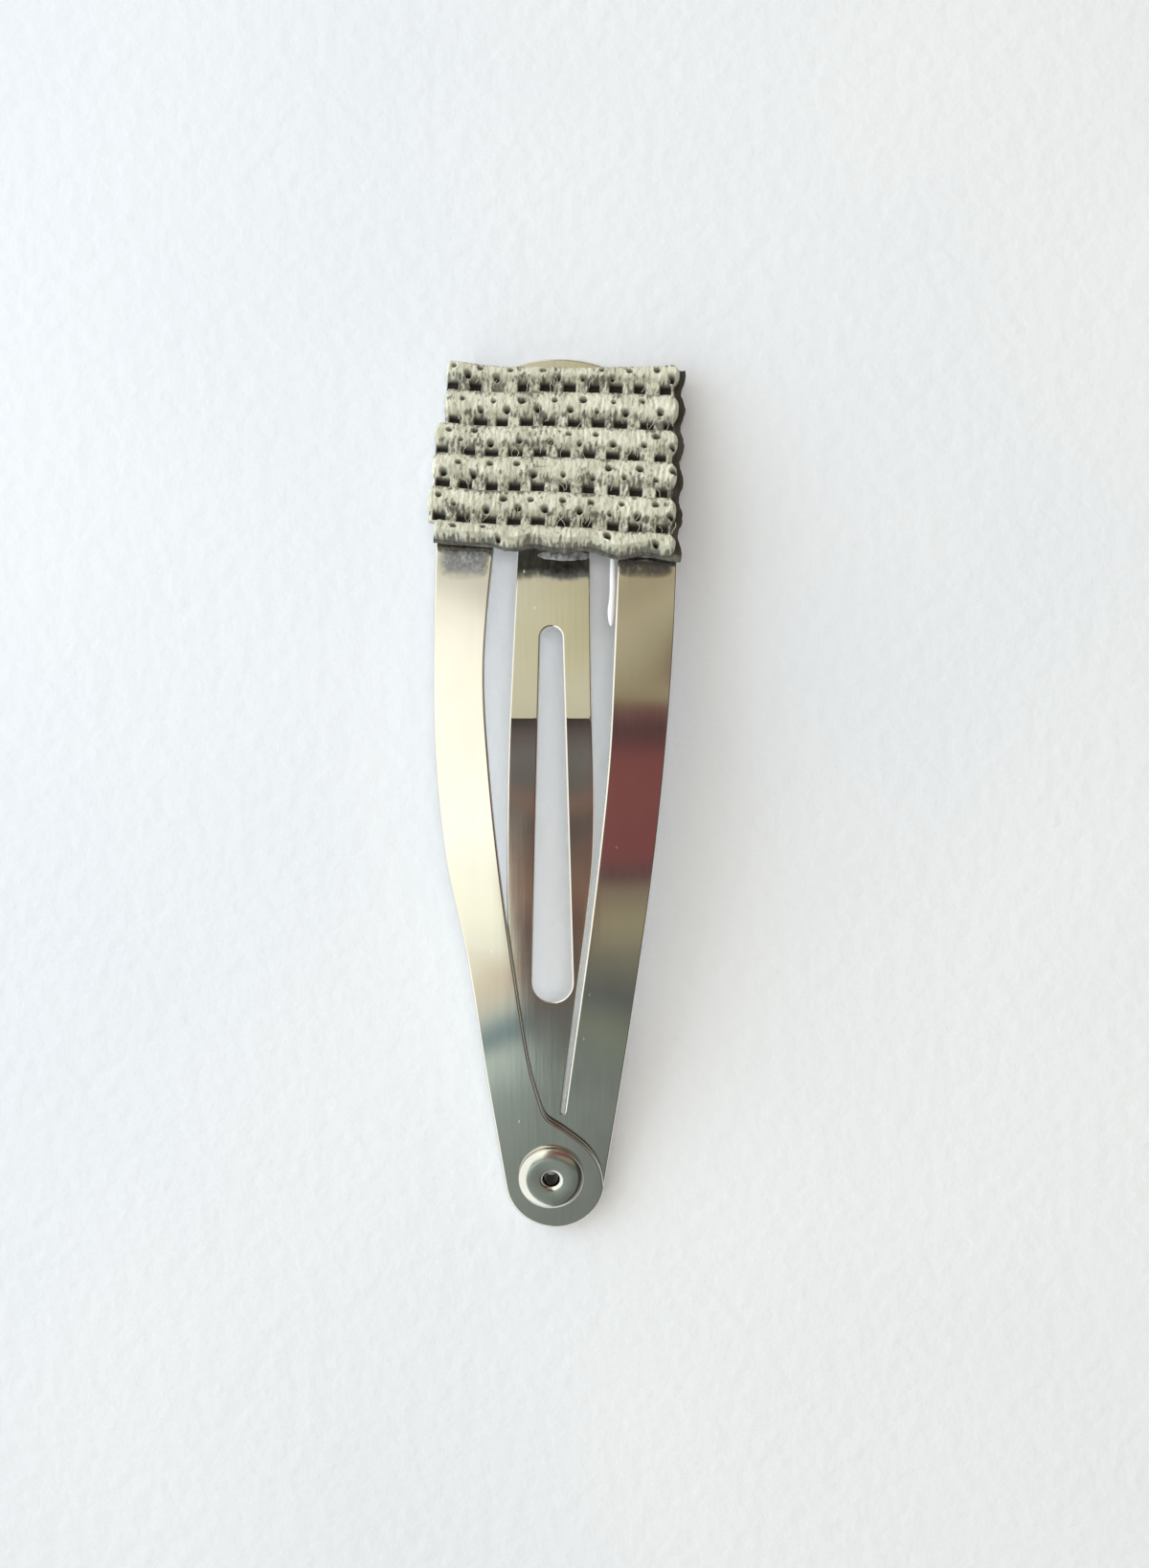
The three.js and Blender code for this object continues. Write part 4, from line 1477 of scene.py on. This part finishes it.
def rubbing_group():
    group, start, end = start_group("rubbing", {"Cloud size": 1}, ["Scratches", "Clouds", "Specks"])
    place = object_coordinates(group)
    lines = stretched_noise(group, place, SCRATCHES_PER_METRE, (4, 0.12, 1), 3)
    group.links.new(math_node(group, "POWER", lines, 2), end.inputs["Scratches"])
    marks = math_node(group, "MULTIPLY", start.outputs["Cloud size"], MARKS_PER_METRE)
    group.links.new(stretched_noise(group, place, marks, (1, 0.6, 1), 4), end.inputs["Clouds"])
    dots = add_node(group, "ShaderNodeTexVoronoi", {
        "Vector": stretched(group, place, (1, 0.3, 1)), "Scale": SPECKS_PER_METRE})
    specks = add_node(group, "ShaderNodeMapRange", {
        "Value": dots.outputs["Distance"], "From Min": SPECK_EDGE[0], "From Max": SPECK_EDGE[1]})
    chance = add_node(group, "ShaderNodeSeparateColor", {0: dots.outputs["Color"]})
    chosen = math_node(group, "GREATER_THAN", chance.outputs["Red"], SPECK_CHANCE)
    group.links.new(math_node(group, "MULTIPLY", specks.outputs["Result"], chosen), end.inputs["Specks"])
    return group


def yarn_group():
    group, start, end = start_group("yarn", {"Fibre size": 1}, ["Tone", "Fibres"])
    place = object_coordinates(group)
    size = math_node(group, "MULTIPLY", start.outputs["Fibre size"], FIBRES_PER_METRE)
    fibres = stretched_noise(group, place, size, (2.4, 0.5, 1), 4)
    group.links.new(fibres, end.inputs["Fibres"])
    patches = stretched_noise(group, place, PATCHES_PER_METRE, (1, 0.7, 1), 4)
    group.links.new(patches, end.inputs["Tone"])
    return group


RUBBING = rubbing_group()
YARN = yarn_group()
print("groups:", RUBBING.name, YARN.name)

# %% [markdown]
# ## Bright plate
# Nickel plate is a metal with low roughness, nearly grey and a touch warm. Rubbing makes its roughness
# uneven, and the few pale specks on it aren't metal. The rivet is the same plate, a little duller, and its
# bore is painted dark as shade.

# %% Plate
# The first colour is painted shade, for the rivet's bore.
PLATE_SHADE = (0.06, 0.035, 0.025, 1)
SPECK_COLOR = (0.9, 0.9, 0.87, 1)
SPECK_COVER = 0.85
SCRATCH_ROUGHNESS = 0.06
SCRATCH_STRENGTH = 0.06
SCRATCH_DEPTH = 0.00002


def map_range(tree, value, low, high):
    """Spreads the middle of a noise, where most of its values lie, over a range."""
    return add_node(tree, "ShaderNodeMapRange", {
        "Value": value, "From Min": NOISE_LOW, "From Max": NOISE_HIGH,
        "To Min": low, "To Max": high}).outputs["Result"]


def point_value(tree, name):
    """A value that the points of a mesh keep."""
    return add_node(tree, "ShaderNodeAttribute", attribute_name=name).outputs["Fac"]


def plate_material(name, dull, bright, roughness, cloud_size):
    material, tree, shader = start_material(name)
    rub = add_node(tree, "ShaderNodeGroup", {"Cloud size": cloud_size}, node_tree=RUBBING)
    scratches = rub.outputs["Scratches"]
    specks = math_node(tree, "MULTIPLY", rub.outputs["Specks"], SPECK_COVER)
    clean = cloudy_color(tree, rub.outputs["Clouds"], dull, bright)
    # Painted shade: the rivet's points darken its bore; the frame and tongue carry none.
    darkened = mix_colors(tree, point_value(tree, "painted_shade"), clean, PLATE_SHADE)
    tree.links.new(mix_colors(tree, specks, darkened, SPECK_COLOR), shader.inputs["Base Color"])
    tree.links.new(math_node(tree, "SUBTRACT", 1, specks), shader.inputs["Metallic"])
    haze = map_range(tree, rub.outputs["Clouds"], *roughness)
    worn = math_node(tree, "MULTIPLY_ADD", scratches, SCRATCH_ROUGHNESS, haze)
    tree.links.new(worn, shader.inputs["Roughness"])
    link_bump(tree, shader, scratches, SCRATCH_STRENGTH, SCRATCH_DEPTH)
    return material


STEEL = plate_material("bright_plate", (0.71, 0.69, 0.645), (0.79, 0.775, 0.73), (0.07, 0.12), 1)
RIVET_STEEL = plate_material("rivet_plate", (0.66, 0.66, 0.62), (0.76, 0.76, 0.72), (0.1, 0.18), 2)
print("plate nodes:", len(STEEL.node_tree.nodes))

# %% [markdown]
# ## Yarn
# The yarn is matte, with a little sheen from its fibres: cream on the ribs, dark in the backing. Where it
# lies deep it is painted nearly black as shade, and round the openings and at the cut edges it is painted
# darker too; the darkness that each point keeps says where. Real depth alone would leave the openings too
# light, because a pad this small lets light in from all sides.

# %% Yarn
TONE_STOPS = (0.36, 0.48, 0.6)
FIBRE_STRENGTH = 0.45
FIBRE_DEPTH = 0.00007
YARN_VALUES = {"Roughness": 0.92, "Specular IOR Level": 0.2, "Sheen Weight": 0.15}


def yarn_material(name, tones, hollow, fibre_size):
    material, tree, shader = start_material(name)
    yarn = add_node(tree, "ShaderNodeGroup", {"Fibre size": fibre_size}, node_tree=YARN)
    patches = math_node(tree, "MULTIPLY", yarn.outputs["Tone"], 0.5)
    tone = math_node(tree, "MULTIPLY_ADD", yarn.outputs["Fibres"], 0.5, patches)
    cloth = ramp(tree, tone, list(zip(TONE_STOPS, tones)))
    # Painted shade: the darkness that the points keep mixes in the near-black colour.
    shaded = mix_colors(tree, point_value(tree, "darkness"), cloth, hollow)
    tree.links.new(shaded, shader.inputs["Base Color"])
    link_bump(tree, shader, yarn.outputs["Fibres"], FIBRE_STRENGTH, FIBRE_DEPTH)
    for socket, value in YARN_VALUES.items():
        shader.inputs[socket].default_value = value
    return material


# The last colour of each is the near-black painted shade.
CREAM_YARN = yarn_material(
    "cream_yarn", [(0.47, 0.46, 0.355), (0.63, 0.62, 0.49), (0.78, 0.77, 0.635)], (0.03, 0.028, 0.022, 1), 1)
DARK_WEAVE = yarn_material(
    "dark_weave", [(0.1, 0.095, 0.08), (0.2, 0.19, 0.16), (0.34, 0.33, 0.28)], (0.025, 0.022, 0.018, 1), 1)
print("yarn nodes:", len(CREAM_YARN.node_tree.nodes))

# %% [markdown]
# ## Dried glue
# The bead is thick enough to be white. The smear is so thin that the plate shows through: its opacity is the
# thickness that its points keep, broken up by the same clouds that mark the plate, and painted shade darkens
# it on the right arm.

# %% Glue
GLUE_ROUGHNESS = (0.25, 0.5)
GLUE_COAT = 0.3
# The colour of the painted shade and reflection of the pad on the right smear:
SMEAR_SHADE = (0.06, 0.045, 0.035, 1)
SMEAR_OPACITY = (0.15, 0.95)


def glue_material(name, dull, bright, cloud_size, is_thin):
    material, tree, shader = start_material(name)
    rub = add_node(tree, "ShaderNodeGroup", {"Cloud size": cloud_size}, node_tree=RUBBING)
    clouds = rub.outputs["Clouds"]
    color = cloudy_color(tree, clouds, dull, bright)
    if is_thin:
        # Painted shade: the points of the right smear darken it towards the pad's shade and reflection.
        color = mix_colors(tree, point_value(tree, "painted_shade"), color, SMEAR_SHADE)
        patches = map_range(tree, clouds, *SMEAR_OPACITY)
        opacity = math_node(tree, "MULTIPLY", patches, point_value(tree, "thickness"))
        tree.links.new(opacity, shader.inputs["Alpha"])
    tree.links.new(color, shader.inputs["Base Color"])
    tree.links.new(map_range(tree, clouds, *GLUE_ROUGHNESS), shader.inputs["Roughness"])
    shader.inputs["Coat Weight"].default_value = GLUE_COAT
    return material


GLUE = glue_material("dried_glue", (0.82, 0.83, 0.84), (0.95, 0.955, 0.96), 1, False)
GLUE_HAZE = glue_material("glue_haze", (0.14, 0.145, 0.14), (0.46, 0.47, 0.48), 14, True)
print("glue nodes:", len(GLUE.node_tree.nodes), len(GLUE_HAZE.node_tree.nodes))

# %% [markdown]
# ## Dressing the pieces
# Each piece now gets its finish. The film of glue under the pad hardly shows, so it stays as the CAD model
# has it and only takes the glue's finish.

# %% Dress
def dress(pieces, material):
    for piece in pieces:
        piece.data.materials.clear()
        piece.data.materials.append(material)


dress([frame_piece, tongue_piece], STEEL)
dress([rivet_piece], RIVET_STEEL)
dress([*rib_pieces, fibre_piece], CREAM_YARN)
dress([backing_piece], DARK_WEAVE)
dress([bead_piece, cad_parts["glue_film"]], GLUE)
dress([smear_piece], GLUE_HAZE)
print("materials:", len(bpy.data.materials))
